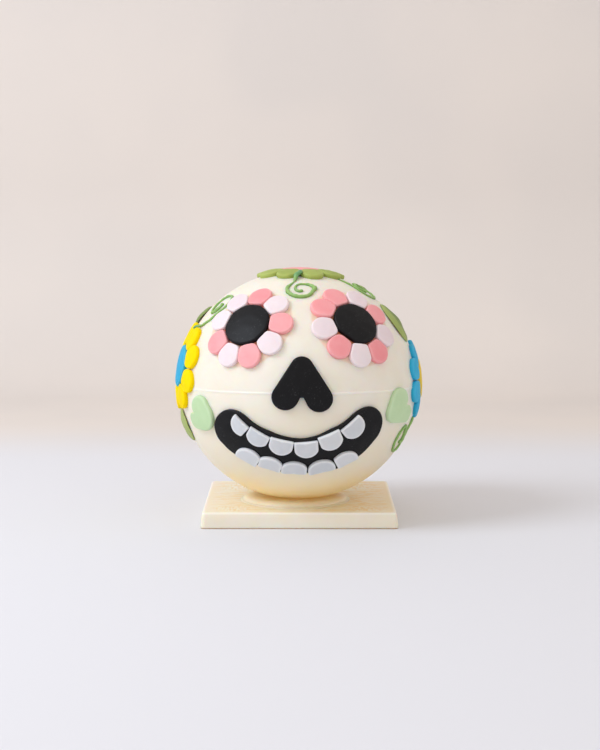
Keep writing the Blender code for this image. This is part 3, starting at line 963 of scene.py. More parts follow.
@dataclass(frozen=True)
class Shell:
    """The ball: two cast halves that meet at a bead.

    Attributes:
        ball: its form.
        bead: how proud the bead stands.
        eyes: the directions of the two wreaths, in and round which shade and shadow are painted.
        bead_width: the bead's half width.
        step: how much wider the upper half is than the lower one at the bead.
        columns: columns of its mesh.
        gap_shade_reach: how far from a wreath's middle the painted shade in its petals' gaps is
            strong.
        petal_shadow_reach: how far the painted shadow round the petals goes.
        petal_shadow_drop: how much lower than the wreath that painted shadow lies, in degrees.
        shade: its painted shade colour on the lower half.
        painted_bottom_shade: its painted shade colour at the very bottom.
        painted_bead_highlight: the painted highlight colour on the bead.
        blush: the colour of the faint painted shadow round the petals.
        painted_gap_shade: the strong painted shade between them.
        painted_light: the colour of a painted glow low down, for light that would come through.
    """

    ball: BallForm
    bead: float
    eyes: Sequence[Point]
    bead_width: float = 0.75
    step: float = 0.16
    columns: int = 288
    gap_shade_reach: float = 20.0
    petal_shadow_reach: float = 28.8
    petal_shadow_drop: float = 0.6
    shade: Colour = (0.88, 0.80, 0.62)
    painted_bottom_shade: Colour = (0.90, 0.62, 0.24)
    painted_bead_highlight: Colour = (0.97, 0.95, 0.90)
    blush: Colour = (0.86, 0.48, 0.26)
    painted_gap_shade: Colour = (0.74, 0.19, 0.06)
    painted_light: Colour = (0.075, 0.052, 0.018)

    def build(self) -> None:
        """Make the shell.

        Its rows go from pole to pole, closer together at the bead. The bead is a bell of height
        over latitude whose height changes a little round the ball. The lower half is a step
        narrower at the bead and fades to its full width below it.
        """
        band = 1.6
        coarse = np.linspace(-90.0, 90.0, 121)
        fine = np.linspace(-band, band, 33)
        rows = np.unique(np.concatenate([coarse[np.abs(coarse) > band], fine]))
        above = np.radians(rows)[:, None]
        around = bearings(self.columns)[None, :]
        east, south = np.cos(above) * np.sin(around), -np.cos(above) * np.cos(around)
        unit = np.stack([east, south, np.sin(above) + 0 * around], axis=-1)
        off = above * self.ball.radius
        seam = np.exp(-((off / self.bead_width) ** 2))
        strength = 1.45 + 0.3 * ripples(unit[:, :, :2], 1.2, "bead")
        proud = self.bead * strength * seam
        proud += self.step * (smooth(off / 0.5 + 0.5) - 1) * np.exp(-((off / 14.0) ** 2))
        proud += 0.05 * (ripples(unit, 0.9, "shell") - 1)
        grid = self.ball.placed(unit * (self.ball.axes + proud[..., None]))
        piece = surface("chocolate_ball", Sheet(grid, {"seam": seam}))
        enlist(piece, self.material(), Slot.IVORY_SHELL, "ball_shell")

    def facing(self, graph: Graph, unit: Term, longitude: float, latitude: float) -> Term:
        """How nearly the shell faces one direction.

        Args:
            graph: the material.
            unit: the direction from the ball's middle to each place.
            longitude: the one direction's longitude.
            latitude: its latitude.

        Returns:
            The cosine of the angle between the two.
        """
        way = self.ball.placed(self.ball.direction(longitude, latitude)) / MM - self.ball.centre
        return graph.vector("DOT_PRODUCT", unit, tuple(float(part) for part in way), output="Value")

    def falling(self, reach: float, fade: float) -> Point:
        """Cosines of the angles where a painted shade has faded away and where it begins to fade.
        """
        return math.cos(reach / self.ball.radius), math.cos((reach - fade) / self.ball.radius)

    def material(self) -> bpy.types.Material:
        """White chocolate with painted amber shade and a painted glow low down, a painted highlight
        on the bead, and painted shade and shadow in and round the eyes' petals.

        Returns:
            The material.
        """
        finish = WhiteChocolate("ball_chocolate")
        graph = Graph(finish.name)
        centre = tuple(float(part) * MM for part in self.ball.centre)
        unit = graph.vector("NORMALIZE", graph.vector("SUBTRACT", graph.place, centre))
        low = (graph.noise(30.0) - 0.5) * 0.1 - graph.part(unit, "Z")
        # Painted shade: the lower half turns darker and warmer, deepest in colour at the very
        # bottom.
        colour = graph.mix(low.between(-0.15, 0.7) * 0.8, finish.skin(graph), self.shade)
        colour = graph.mix(low.between(0.55, 0.98) * 0.85, colour, finish.amber)
        colour = graph.mix(low.between(0.88, 1.0) * 0.6, colour, self.painted_bottom_shade)
        # Painted highlight along the bead.
        colour = graph.mix(graph.mark("seam") * 0.45, colour, self.painted_bead_highlight)
        # Painted shadow round each eye's petals, set a little low, and painted shade in the gaps
        # between them.
        petal_shadowing = self.falling(self.petal_shadow_reach, 2.0)
        gap_shaded = self.falling(self.gap_shade_reach, 2.5)
        for longitude, latitude in self.eyes:
            around = self.facing(graph, unit, longitude, latitude - self.petal_shadow_drop)
            colour = graph.mix(around.between(*petal_shadowing) * 0.45, colour, self.blush)
            inside = self.facing(graph, unit, longitude, latitude)
            colour = graph.mix(inside.between(*gap_shaded) * 0.85, colour, self.painted_gap_shade)
        relief = graph.noise(1.2, 3.0) * 0.3 + graph.noise(11.0, 2.0) * 0.7
        # A painted glow low down, for light that would come through.
        return finish.finished(graph, colour, relief, 0.05, low.between(0.6, 1.0), self.painted_light)


@dataclass(frozen=True)
class Slab:
    """The plinth's slab: a cast square with drafted sides, a soft upper edge and a scored top.

    Attributes:
        seat_middle: where the seat stands on it.
        seat_radius: how wide the seat is.
        foot: its width at the foot.
        top: its width at the top.
        corner: the round of its upright edges.
        edge: the round of its upper edge.
        strip: the height of the foot's drawn-in strip.
        score: depth of the marks on its top.
        cells: how many cells its top has along each side.
        steps: rows of its mesh in each round and down its side.
        painted_top_light: its lighter colour on top, which is painted light.
        brim: its painted highlight colour along the top's edges.
        painted_foot_shade: its painted shade colour under the foot's edge.
        painted_light: the colour of a painted glow there, for light that would come through.
    """

    seat_middle: Array
    seat_radius: float
    foot: float = 121.5
    top: float = 119.4
    corner: float = 2.0
    edge: float = 1.5
    strip: float = 0.5
    score: float = 0.2
    cells: int = 230
    steps: int = 9
    painted_top_light: Colour = (0.94, 0.89, 0.75)
    brim: Colour = (0.94, 0.91, 0.84)
    painted_foot_shade: Colour = (0.50, 0.24, 0.07)
    painted_light: Colour = (0.05, 0.025, 0.005)

    def loop(self, half: Array, radius: Array) -> Array:
        """Points round squares with round corners: one side and its corner, turned four times.

        Args:
            half: half the width of each square between its corners' rounds.
            radius: each square's corner radius.

        Returns:
            Points by square and place round it.
        """
        side = np.linspace(-1.0, 1.0, self.cells + 1)
        swing = np.linspace(0.0, QUARTER_TURN, self.steps)[1:-1]
        inner = [np.stack([np.ones_like(side), side], -1), np.ones((len(swing), 2))]
        inner = np.concatenate(inner)
        outer = np.concatenate([np.tile([1.0, 0.0], (len(side), 1)), circle(swing)])
        quarter = half[:, None, None] * inner + radius[:, None, None] * outer
        turned = np.array([[0.0, 1.0], [-1.0, 0.0]])
        turns = [quarter @ np.linalg.matrix_power(turned, step) for step in range(4)]
        return np.concatenate(turns, axis=1)

    def build(self) -> None:
        """Make the slab: a square sheet for its top and a skirt over the edge and down to the foot.

        The skirt's rows are squares that grow round the upper edge, then straight down the drafted
        side, draw in to the foot's strip and close under it.
        """
        low, high = corners_of("plinth_slab")
        height = high[2] - low[2]
        half = self.top / 2 - self.corner
        draft = (self.foot - self.top) / 2
        side = np.linspace(-half, half, self.cells + 1)
        top = np.stack(np.meshgrid(side, side, indexing="ij"), -1)
        swing = np.linspace(QUARTER_TURN, 0.0, self.steps)
        drop = np.linspace(height - self.edge, self.strip, self.steps)[1:]
        radius = np.concatenate(
            [
                [0.0],
                self.corner - self.edge * (1 - np.cos(swing)),
                self.corner + draft * (height - drop) / height,
                self.corner + draft + np.array([-0.25, -0.45, -0.45, -self.corner, -self.corner]),
            ]
        )
        level = np.concatenate(
            [
                [height],
                height - self.edge * (1 - np.sin(swing)),
                drop,
                [self.strip - 0.1, self.strip - 0.2, 0.0, 0.0, 0.0],
            ]
        )
        halves = np.where(np.arange(len(radius)) == len(radius) - 1, 0.0, half)
        skirt = self.loop(halves, np.maximum(radius, 0.0))
        up = np.broadcast_to(level[:, None], skirt.shape[:2])
        foot = np.broadcast_to((level < self.strip)[:, None], skirt.shape[:2]) * 1.0
        piece = surface(
            "chocolate_slab",
            self.scored(top, np.full(top.shape[:2], height), 1.0, height, False),
            self.scored(skirt, up, foot, height, True),
        )
        enlist(piece, self.material(), Slot.IVORY_PLINTH, "plinth_slab")

    def scored(self, flat: Array, up: Array, foot: Array, height: float, wraps: bool) -> Sheet:
        """A sheet with the slab's relief: strokes on its top, a slow waver and a ragged foot.

        Args:
            flat: the sheet's places seen from above.
            up: their heights.
            foot: whether they belong to the foot's strip, ignored on the top.
            height: the slab's height.
            wraps: whether the sheet closes on itself.

        Returns:
            The sheet, with its marks.
        """
        on_top = smooth((up - height + 0.5) / 0.5)
        strokes = self.strokes(flat)
        solid = np.concatenate([flat, 3 * up[..., None]], -1)
        waver = 1 + ripples(solid, 34.0, "slab")
        above = smooth(up / 2.0)
        low = np.clip((self.strip + 1.0 - up) / 0.6, 0.0, 1.0) * (up >= self.strip)
        ragged = 0.28 * low * smooth(ripples(flat, 5.0, "foot") * 0.7)
        shrink = 1 - 0.0011 * above * waver
        lowered = on_top * (self.score * (1 - strokes) + 0.06 * waver)
        raised = (up - lowered + ragged)[..., None]
        points = np.concatenate([flat * shrink[..., None], raised], -1) * MM
        outside = np.abs(flat).max(-1) - self.top / 2
        # Masks for the material: painted shade in the grooves, a painted highlight on the brim,
        # painted light on the top and painted shade at the foot.
        marks = {
            "groove": on_top * (1 - strokes),
            "brim": smooth((up - height + 1.7) / 0.8) * smooth((outside + 2.5) / 1.5),
            "top": on_top,
            "foot": foot * (1 - on_top),
        }
        return Sheet(points, marks, wraps)

    def strokes(self, flat: Array) -> Array:
        """How high the scored top is, of 0 to 1.

        Waves drawn out along X run all over it. Two slanting sets cross each other at the right and
        a little at the left, and short upright combs stand in patches by the corners. Along the
        edges all of them fade out.

        Args:
            flat: places on the top.

        Returns:
            A share for each place.
        """
        away = np.linalg.norm(flat - self.seat_middle, axis=-1) - self.seat_radius
        near = np.exp(-((away / 20.0) ** 2))
        x, y = flat[..., 0], flat[..., 1]
        right = smooth((x - 20.0) / 22.0)
        patchy = smooth(ripples(flat, 26.0, "patches") * 0.8 + 0.5)
        fine = drawn_out(flat, 0.0, 2.4, 60.0, "grain")
        broad = drawn_out(flat, 2.0, 5.5, 90.0, "broad grain")
        grain = 0.55 * fine + 0.45 * broad
        rising = drawn_out(flat, 48.0, 3.2, 34.0, "rising")
        falling = drawn_out(flat, -46.0, 3.0, 30.0, "falling")
        crossing = (rising + falling) * (0.25 + 0.6 * right) * (0.3 + 0.7 * near) * (0.3 + patchy)
        corners = np.exp(-(((np.abs(x) - 41.0) / 9.0) ** 2) - ((y + 46.0) / 8.0) ** 2)
        backs = np.exp(-(((np.abs(x) - 38.0) / 10.0) ** 2) - ((y - 34.0) / 14.0) ** 2)
        comb = drawn_out(flat, 90.0, 2.6, 12.0, "combs") * (corners + backs)
        border = smooth((self.top / 2 - np.abs(flat).max(-1) - 2.5) / 5.0)
        return smooth(0.66 + 0.6 * border * (grain * 0.6 + crossing + 0.8 * comb))

    def material(self) -> bpy.types.Material:
        """White chocolate with painted amber shade in its marks, at the right and round the seat,
        painted light on its top, a painted highlight along the top's edges, and painted shade and
        glow under its foot.

        Returns:
            The material.
        """
        finish = WhiteChocolate(
            "slab_chocolate", (0.86, 0.81, 0.70), (0.85, 0.78, 0.63), (0.87, 0.67, 0.35), 0.42
        )
        graph = Graph(finish.name)
        top = graph.mark("top")
        # Painted light: the top is lighter.
        colour = graph.mix(top * 0.8, finish.skin(graph), self.painted_top_light)
        seat = (float(self.seat_middle[0]) * MM, float(self.seat_middle[1]) * MM, 10 * MM)
        away = graph.vector("DISTANCE", graph.place, seat, output="Value") / MM
        reach = self.seat_radius
        near = 1 - (away + graph.noise(9.0) * 12.0).between(reach + 2.0, reach + 30.0)
        side = graph.part(graph.place, "X") / MM
        right = (side + graph.noise(14.0) * 16.0).between(20.0, 52.0)
        # Painted amber shade in the grooves, round the seat and at the right, where the ball's
        # shade falls.
        amber = (graph.mark("groove") * 1.3 + near * 0.22 + right * 0.38) * top
        streaks = graph.noise(1.1, 4.0, (16.0, 1.0, 1.0))
        colour = graph.mix(amber * 0.7, colour, finish.amber)
        colour = graph.mix((streaks - 0.45).between(0.0, 0.3) * 0.12 * top, colour, finish.amber)
        # Painted highlight along the top's edges.
        colour = graph.mix(graph.mark("brim") * 0.6, colour, self.brim)
        # Painted shade under the foot's edge; the finish adds a painted glow there too.
        colour = graph.mix(graph.mark("foot") * 0.9, colour, self.painted_foot_shade)
        relief = graph.noise(0.9, 3.0) * 0.4 + streaks * top * 0.6
        return finish.finished(graph, colour, relief, 0.09, graph.mark("foot"), self.painted_light)


@dataclass(frozen=True)
class SeatRing:
    """The ring that the ball sits on, whose soft lip runs out on the slab in a low skirt.

    Attributes:
        ball: the ball's form.
        middle: its own middle.
        radius: its lip's outer radius.
        bore: the radius of its bore.
        brim: where its dish begins.
        lip: the width of its lip's round.
        lip_foot: how far above its foot the lip begins.
        skirt: how far out the skirt's points are past the lip, and how far above the foot.
        sunk: how far it goes on below its foot, into the slab.
        joint: the depth of the joint line below its lip.
        painted_joint_shade: its painted shade colour in that line.
        painted_light: the colour of a painted glow beside the ball, for light that would come
            through.
    """

    ball: BallForm
    middle: Point = (-2.7, -11.5)
    radius: float = 33.0
    bore: float = 12.0
    brim: float = 18.8
    lip: float = 6.0
    lip_foot: float = 0.7
    skirt: Sequence[Point] = ((1.8, 0.2), (1.1, 0.42), (0.5, 0.56))
    sunk: float = 2.6
    joint: float = 0.15
    painted_joint_shade: Colour = (0.72, 0.50, 0.24)
    painted_light: Colour = (0.05, 0.036, 0.015)

    def build(self) -> None:
        """Make the ring: its profile carried round, with its lip and joint wavering as it goes.

        The profile goes out from the bore inside the slab, up the skirt and the soft lip and in
        across the dish, whose inner half follows the ball.
        """
        low, high = corners_of("seat_ring")
        foot, top = low[2] - 0.4, high[2] - 0.1
        rising = foot + self.lip_foot
        swing = np.linspace(0.0, QUARTER_TURN, 15)
        lip = self.radius - self.lip * (1 - np.cos(swing) ** 0.9)
        under_ball = self.ball_underside(np.array([self.brim, self.bore]))
        across = np.linspace(lip[-1], self.brim, 14)[1:]
        dip = (across - self.brim) / (lip[-1] - self.brim)
        past, above = np.array(self.skirt).T
        out = self.radius + past
        reach = np.concatenate([[self.bore, out[0]], out, lip, across, [self.bore]])
        level = np.concatenate(
            [
                [foot - self.sunk] * 2,
                foot + above,
                rising + (top - rising) * np.sin(swing) ** 0.9,
                under_ball[0] + (top - under_ball[0]) * smooth(dip) ** 0.6,
                [under_ball[1]],
            ]
        )
        ring = circle(bearings(240))
        waver = ripples(ring, 1.1, "lip")
        crumble = smooth(ripples(ring, 0.2, "joint") * 0.8) * smooth(0.4 - ring[:, 1])
        own = smooth((reach - self.brim) / 6.0)[:, None]
        rim = smooth((reach - self.radius + 3.5) / 2.0)[:, None]
        joint = np.exp(-(((level - rising) / 0.45) ** 2))[:, None] * rim
        away = reach[:, None] - 0.2 * rim * (1 + waver) - self.joint * crumble * joint
        own_share = own[..., None]
        middle = own_share * np.array(self.middle) + (1 - own_share) * self.ball.centre[:2]
        flat = middle + away[..., None] * ring
        level = level[:, None]
        up = level - 0.1 * own * (1 + waver) * (level > foot + 1)
        # Masks for the material's painted shade in the joint and its painted amber shade and glow
        # under the ball.
        marks = {
            "joint": joint * (0.3 + 0.7 * crumble),
            "deep": smooth((self.radius - reach) / 14.0)[:, None] * (level > foot + 0.5),
        }
        rows = [*range(len(reach)), 0]
        grid = np.concatenate([flat, up[..., None]], -1)[rows] * MM
        closed = {key: mark[rows] for key, mark in marks.items()}
        piece = surface("chocolate_seat", Sheet(grid, closed))
        enlist(piece, self.material(), Slot.IVORY_PLINTH, "seat_ring")

    def ball_underside(self, reach: Array) -> Array:
        """Height of the ball's underside at distances from its axis."""
        drop = self.ball.half_height * np.sqrt(1 - (reach / self.ball.radius) ** 2)
        return self.ball.centre[2] - drop

    def material(self) -> bpy.types.Material:
        """White chocolate, with painted shade in the joint and painted amber shade and glow under
        the ball.

        Returns:
            The material.
        """
        finish = WhiteChocolate(
            "seat_chocolate", (0.90, 0.82, 0.65), (0.88, 0.79, 0.59), (0.91, 0.72, 0.43), 0.42
        )
        graph = Graph(finish.name)
        # Painted shade in the joint line.
        colour = graph.mix(graph.mark("joint") * 0.16, finish.skin(graph), self.painted_joint_shade)
        # Painted amber shade under the ball.
        colour = graph.mix(graph.mark("deep") * 0.8, colour, finish.amber)
        relief = graph.noise(1.0, 3.0) * 0.4 + graph.noise(6.0, 2.0) * 0.6
        # A painted glow under the ball.
        return finish.finished(graph, colour, relief, 0.09, graph.mark("deep"), self.painted_light)


@dataclass(frozen=True)
class Eye:
    """An eye: a black disc in a wreath of pink and paler petals.

    Attributes:
        side: left or right, as the viewer sees it.
        where: its direction on the ball.
        petals: each petal's bearing, stray from the common reach and colour.
        disc_flats: flats pressed into its disc.
        reach: the common reach.
        disc_radius: its disc's radius before it is pressed.
        petal_axes: a petal's half length and half width.
        petal_cut: how its petals are rolled.
        disc_cut: how its disc is rolled.
    """

    side: str
    where: Point
    petals: Sequence[tuple[float, float, Slot]]
    disc_flats: Sequence[Point] = ()
    reach: float = 21.1
    disc_radius: float = 14.9
    petal_axes: Point = (8.05, 7.6)
    petal_cut: Rolled = Rolled(2.4, edge=1.05)
    disc_cut: Rolled = Rolled(2.6, edge=1.2, crown=0.02, dent_length=11.0)

    def build(self, ball: BallForm, finishes: Finishes) -> None:
        """Make and dress its pieces.

        Args:
            ball: the ball's form.
            finishes: each slot's material.
        """
        around, strays, slots = zip(*self.petals)
        wreath = Wreath(
            f"{self.side}_eye",
            around,
            self.reach + np.array(strays),
            self.disc_radius,
            self.petal_axes,
            self.petal_cut,
            self.disc_cut,
            disc_flats=self.disc_flats,
        )
        patch = Patch(ball, *self.where)
        for index, (piece, slot) in enumerate(zip(wreath.petals(patch), slots)):
            enlist(piece, finishes[slot], slot, f"eye_{self.side}_petal_{index + 1}")
        enlist(wreath.disc(patch), finishes[Slot.BLACK], Slot.BLACK, f"eye_{self.side}_disc")


@dataclass(frozen=True)
class Flower:
    """A flower on the crown or at a side: nine petals and a disc.

    Attributes:
        place: where it is.
        where: its direction and turn on the ball.
        start: the first petal's bearing. The others follow clockwise.
        petal_slot: the petals' colour.
        disc_slot: the disc's colour.
        spread: how much of the turn the first four petals take; the others share the rest.
        disc_thick: the disc's thickness.
        petal_count: how many petals it has.
        reach: from the disc's middle to each petal's.
        strays: the petals that lie further out than that, by number, and how much.
        disc_radius: its disc's radius before it is pressed.
        petal_axes: a petal's half length and half width.
        petal_cut: how its petals are rolled.
    """

    place: str
    where: tuple[float, float, float]
    start: float
    petal_slot: Slot
    disc_slot: Slot
    spread: float = 120.0
    disc_thick: float = 2.5
    petal_count: int = 9
    reach: float = 20.6
    strays: Sequence[tuple[int, float]] = ()
    disc_radius: float = 14.0
    petal_axes: Point = (8.2, 7.6)
    petal_cut: Rolled = Rolled(2.2, edge=1.3, crown=0.1, dents=0.06)

    def build(self, ball: BallForm, finishes: Finishes) -> None:
        """Make and dress its pieces.

        Args:
            ball: the ball's form.
            finishes: each slot's material.
        """
        rest = (360.0 - self.spread) / (self.petal_count - 3)
        steps = np.where(np.arange(self.petal_count - 1) < 3, self.spread / 3, rest)
        around = self.start - np.concatenate([[0.0], np.cumsum(steps)])
        draw = seeded(self.place)
        around = around + draw.uniform(-1.2, 1.2, self.petal_count)
        reaches = self.reach + draw.uniform(-0.3, 0.2, self.petal_count)
        for index, stray in self.strays:
            reaches[index] += stray
        wreath = Wreath(
            f"{self.place}_flower",
            around,
            reaches,
            self.disc_radius,
            self.petal_axes,
            self.petal_cut,
            Rolled(self.disc_thick, edge=1.4, crown=0.02),
        )
        patch = Patch(ball, *self.where)
        for piece in wreath.petals(patch):
            enlist(piece, finishes[self.petal_slot], self.petal_slot, f"flower_{self.place}_petals")
        disc_node = f"flower_{self.place}_disc"
        enlist(wreath.disc(patch), finishes[self.disc_slot], self.disc_slot, disc_node)


@dataclass(frozen=True)
class Heart:
    """A heart of rolled paste: two tapered runs, from each lobe to the point.

    Attributes:
        name: the piece's name.
        node: the solid that it stands for.
        where: its direction on the ball.
        discs: the two lobes and then the point, each as x, y and radius.
        cut: how it is rolled.
        slot: its colour.
        notch: the bearing and depth of its notch, if pressed in.
        notch_width: the notch's half width in degrees.
        web: a disc that fills the notch's inner end, if it does.
        waver: how uneven its outline is.
    """

    name: str
    node: str
    where: Point
    discs: Sequence[tuple[float, float, float]]
    cut: Rolled
    slot: Slot
    notch: Point = (0.0, 0.0)
    notch_width: float = 9.0
    web: Sequence[tuple[float, float, float]] = ()
    waver: float = 0.004

    def outline(self) -> Array:
        """Its outline: at each bearing the far side of the furthest disc along either run.

        Returns:
            The reach at even bearings, with the notch pressed in and the corners softened.
        """
        angles = bearings(240)
        ray = np.column_stack([np.cos(angles), np.sin(angles)])
        share = np.linspace(0.0, 1.0, 61)[:, None]
        reach = np.zeros(len(angles))
        for lobe in [*self.discs[:2], *self.web]:
            run = np.array(lobe) * (1 - share) + np.array(self.discs[2]) * share
            along = ray @ run[:, :2].T
            inside = along**2 - (run[:, :2] ** 2).sum(1) + run[:, 2] ** 2
            far = np.where(inside > 0, along + np.sqrt(np.maximum(inside, 0.0)), 0.0)
            reach = np.maximum(reach, far.max(1))
        bearing, depth = self.notch
        off = (np.degrees(angles) - bearing + 180.0) % 360.0 - 180.0
        reach = reach - depth * np.exp(-((off / self.notch_width) ** 2))
        kernel = np.array([0.25, 0.5, 0.25])
        spread = np.convolve(np.concatenate([reach[-1:], reach, reach[:1]]), kernel, "valid")
        return wavering(spread, self.name, self.waver)

    def build(self, ball: BallForm, finishes: Finishes) -> None:
        """Make and dress it.

        Args:
            ball: the ball's form.
            finishes: each slot's material.
        """
        patch = Patch(ball, *self.where)
        piece = self.cut.round_piece(self.name, patch, (0.0, 0.0), self.outline())
        enlist(piece, finishes[self.slot], self.slot, self.node)


def through(knots: Sequence[Point], places: Array, window: float = 3.5) -> Array:
    """A smooth curve past knots: straight runs between them, averaged over a window.

    Args:
        knots: places and the values there.
        places: where the curve is wanted.
        window: how far the average reaches on either side.

    Returns:
        A value for each place.
    """
    spread = np.linspace(-1.0, 1.0, 11)
    weights = np.cos(spread * math.pi / 2) ** 2
    at, values = np.array(knots).T
    nearby = np.interp(places[..., None] + window * spread, at, values)
    return (nearby * weights).sum(-1) / weights.sum()


@dataclass(frozen=True)
class ToothRow:
    """A row of teeth along the mouth's arc.

    Attributes:
        row: upper or lower.
        joints: the bearings where neighbours meet, and first and last where the two end teeth stop.
        radius: of the arc through the teeth's middles.
        half_widths: each tooth's half width, before it is pressed.
        half_height: their half height.
        flat_side: the bearing of the flat side on a tooth at the bottom of the arc.
        strays: how far each is moved out along its own radius.
        flats: from each tooth's middle to its flat side.
        clears: how far each stays off its neighbours' joints.
    """

    row: str
    joints: Sequence[float]
    radius: float
    half_widths: Sequence[float]
    half_height: float
    flat_side: float
    strays: Sequence[float]
    flats: Sequence[float]
    clears: Sequence[float]


@dataclass(frozen=True)
class Smile:
    """The mouth, a black band bent along an arc, and the two rows of teeth on it.

    Attributes:
        where: its direction on the ball.
        centre: the arc's centre.
        radius: the arc's radius.
        outer: the band's half width outwards, at places along the arc.
        inner: its half width inwards.
        sweep: the arc to each end's round, left and right.
        past: how far each round reaches past that.
        slant: how much further the band's inner side runs at each end.
        back: how much less far its outer side runs, as a share of that.
        rows: the rows of teeth.
        band_cut: how the band is rolled.
        tooth_cut: how the teeth are rolled.
        tooth_gap: between a tooth and the joint beside it.
    """

    where: Point = (0.6, -28.9)
    centre: Point = (-0.3, 62.0)
    radius: float = 66.4
    outer: Sequence[Point] = (
        (-45.0, 15.7), (-38.0, 15.6), (-29.0, 14.8), (-23.0, 13.3), (-18.0, 12.5), (7.0, 12.6),
        (13.0, 14.3), (19.0, 15.0), (28.0, 14.7), (34.0, 14.2), (45.0, 12.6),
    )
    inner: Sequence[Point] = (
        (-45.0, 13.6), (-29.0, 14.2), (-22.0, 14.8), (-8.0, 14.2), (4.0, 13.6), (14.0, 14.4),
        (20.0, 15.1), (26.0, 15.3), (33.0, 14.5), (45.0, 14.2),
    )
    sweep: Point = (-37.1, 37.1)
    past: Point = (13.9, 15.6)
    slant: Point = (2.0, 4.0)
    back: float = 0.55
    band_cut: Rolled = Rolled(1.8, dent_length=9.0)
    tooth_cut: Rolled = Rolled(
        1.6, base=2.1, lift=2.7, edge=0.75, tuck=0.12, crown=0.04, dents=0.04
    )
    tooth_gap: float = 0.07
    rows: Sequence[ToothRow] = (
        ToothRow(
            "upper",
            (-43.7, -31.6, -17.7, -3.1, 11.5, 26.5, 41.9),
            55.6,
            (7.6, 7.7, 7.7, 7.7, 7.7, 7.7),
            8.4,
            90.0,
            (1.2, 0.2, 0.0, 0.8, -0.3, 1.1),
            (0.95, 1.6, 2.1, 2.5, 3.0, 3.0),
            (0.0, 0.05, 0.1, 0.15, 0.4, 0.1),
        ),
        ToothRow(
            "lower",
            (-29.5, -18.4, -7.9, 3.6, 16.7, 27.2),
            75.4,
            (8.3, 8.3, 8.3, 8.3, 8.3),
            7.7,
            -90.0,
            (1.2, 0.1, 0.3, 1.0, 1.5),
            (2.6, 1.7, 1.6, 1.8, 2.2),
            (0.0, 0.0, 0.0, 0.0, 0.0),
        ),
    )

    def on_arc(self, along: Array, off: Array) -> Array:
        """Points of the patch at distances along the arc and off it.

        Args:
            along: distances along the arc from its lowest place, to the right.
            off: distances outwards.

        Returns:
            The points, x and y last.
        """
        angle = along / self.radius
        reach = self.radius + off
        x = self.centre[0] + reach * np.sin(angle)
        y = self.centre[1] - reach * np.cos(angle)
        return np.stack([x, y], -1)

    def build(self, ball: BallForm, finishes: Finishes) -> None:
        """Make the band, then the teeth.

        The band's edge runs along both sides of the arc and round half ovals at its ends, which are
        sheared, so that the inner side runs further and the outer side less far.

        Args:
            ball: the ball's form.
            finishes: each slot's material.
        """
        patch = Patch(ball, *self.where)
        left, right = (math.radians(end) * self.radius for end in self.sweep)
        side = np.linspace(-1.0, 1.0, 150)
        swing = np.linspace(0.0, math.pi, 60)[1:-1]
        run = (right + left) / 2 + (right - left) / 2 * side
        along = np.concatenate([run, right + 0 * swing, run[::-1], left + 0 * swing])
        off = np.concatenate([1 + 0 * run, np.cos(swing), -1 + 0 * run, -np.cos(swing)])
        bulge = np.concatenate([0 * run, np.sin(swing), 0 * run, -np.sin(swing)])
        past = bulge * np.where(along > 0, self.past[1], self.past[0])
        lean = -bulge * off * np.where(along > 0, self.slant[1], self.slant[0])
        lean = lean * np.where(off < 0, 1.0, self.back)
        half = np.where(off > 0, through(self.outer, along), through(self.inner, along))
        waver = 0.1 * ripples(np.stack([along, 14 * off], -1), 22.0, "mouth edge")
        edge = self.on_arc(along + past + lean, off * half + waver)
        spine = self.on_arc(along, 0 * off)
        band = self.band_cut.piece("mouth_band", patch, (0.0, 0.0), edge, spine)
        enlist(band, finishes[Slot.BLACK], Slot.BLACK, "mouth")
        for row in self.rows:
            self.build_row(row, patch, finishes[Slot.TOOTH])

    def build_row(self, row: ToothRow, patch: Patch, finish: bpy.types.Material) -> None:
        """One row of teeth: ovals cut flat on one side and pressed by their neighbours.

        An end tooth is free on its outer side, so its middle lies its own half width in from there.

        Args:
            row: the row.
            patch: the mouth's patch.
            finish: the teeth's material.
        """
        angles = bearings(144)
        last = len(row.half_widths) - 1
        for index, (start, stop) in enumerate(zip(row.joints, row.joints[1:])):
            own = math.degrees(row.half_widths[index] / row.radius)
            around = {0: start + own, last: stop - own}.get(index, (start + stop) / 2)
            name = f"{row.row}_tooth_{index + 1}"
            walls = [(row.flat_side + around, row.flats[index])]
            for joint, side, free in ((start, 180.0, index == 0), (stop, 0.0, index == last)):
                beside = row.radius * math.radians(abs(joint - around)) - self.tooth_gap
                walls += [] if free else [(side + around, beside - row.clears[index])]
            axes = (row.half_widths[index], row.half_height)
            outline = wavering(pressed(angles, axes, walls, around, 44.0), name, 0.008)
            reach = row.radius + row.strays[index]
            turn = math.radians(around)
            x = self.centre[0] + reach * math.sin(turn)
            y = self.centre[1] - reach * math.cos(turn)
            piece = self.tooth_cut.round_piece(name, patch, (x, y), outline)
            enlist(piece, finish, Slot.TOOTH, f"tooth_{row.row}_{index + 1}")


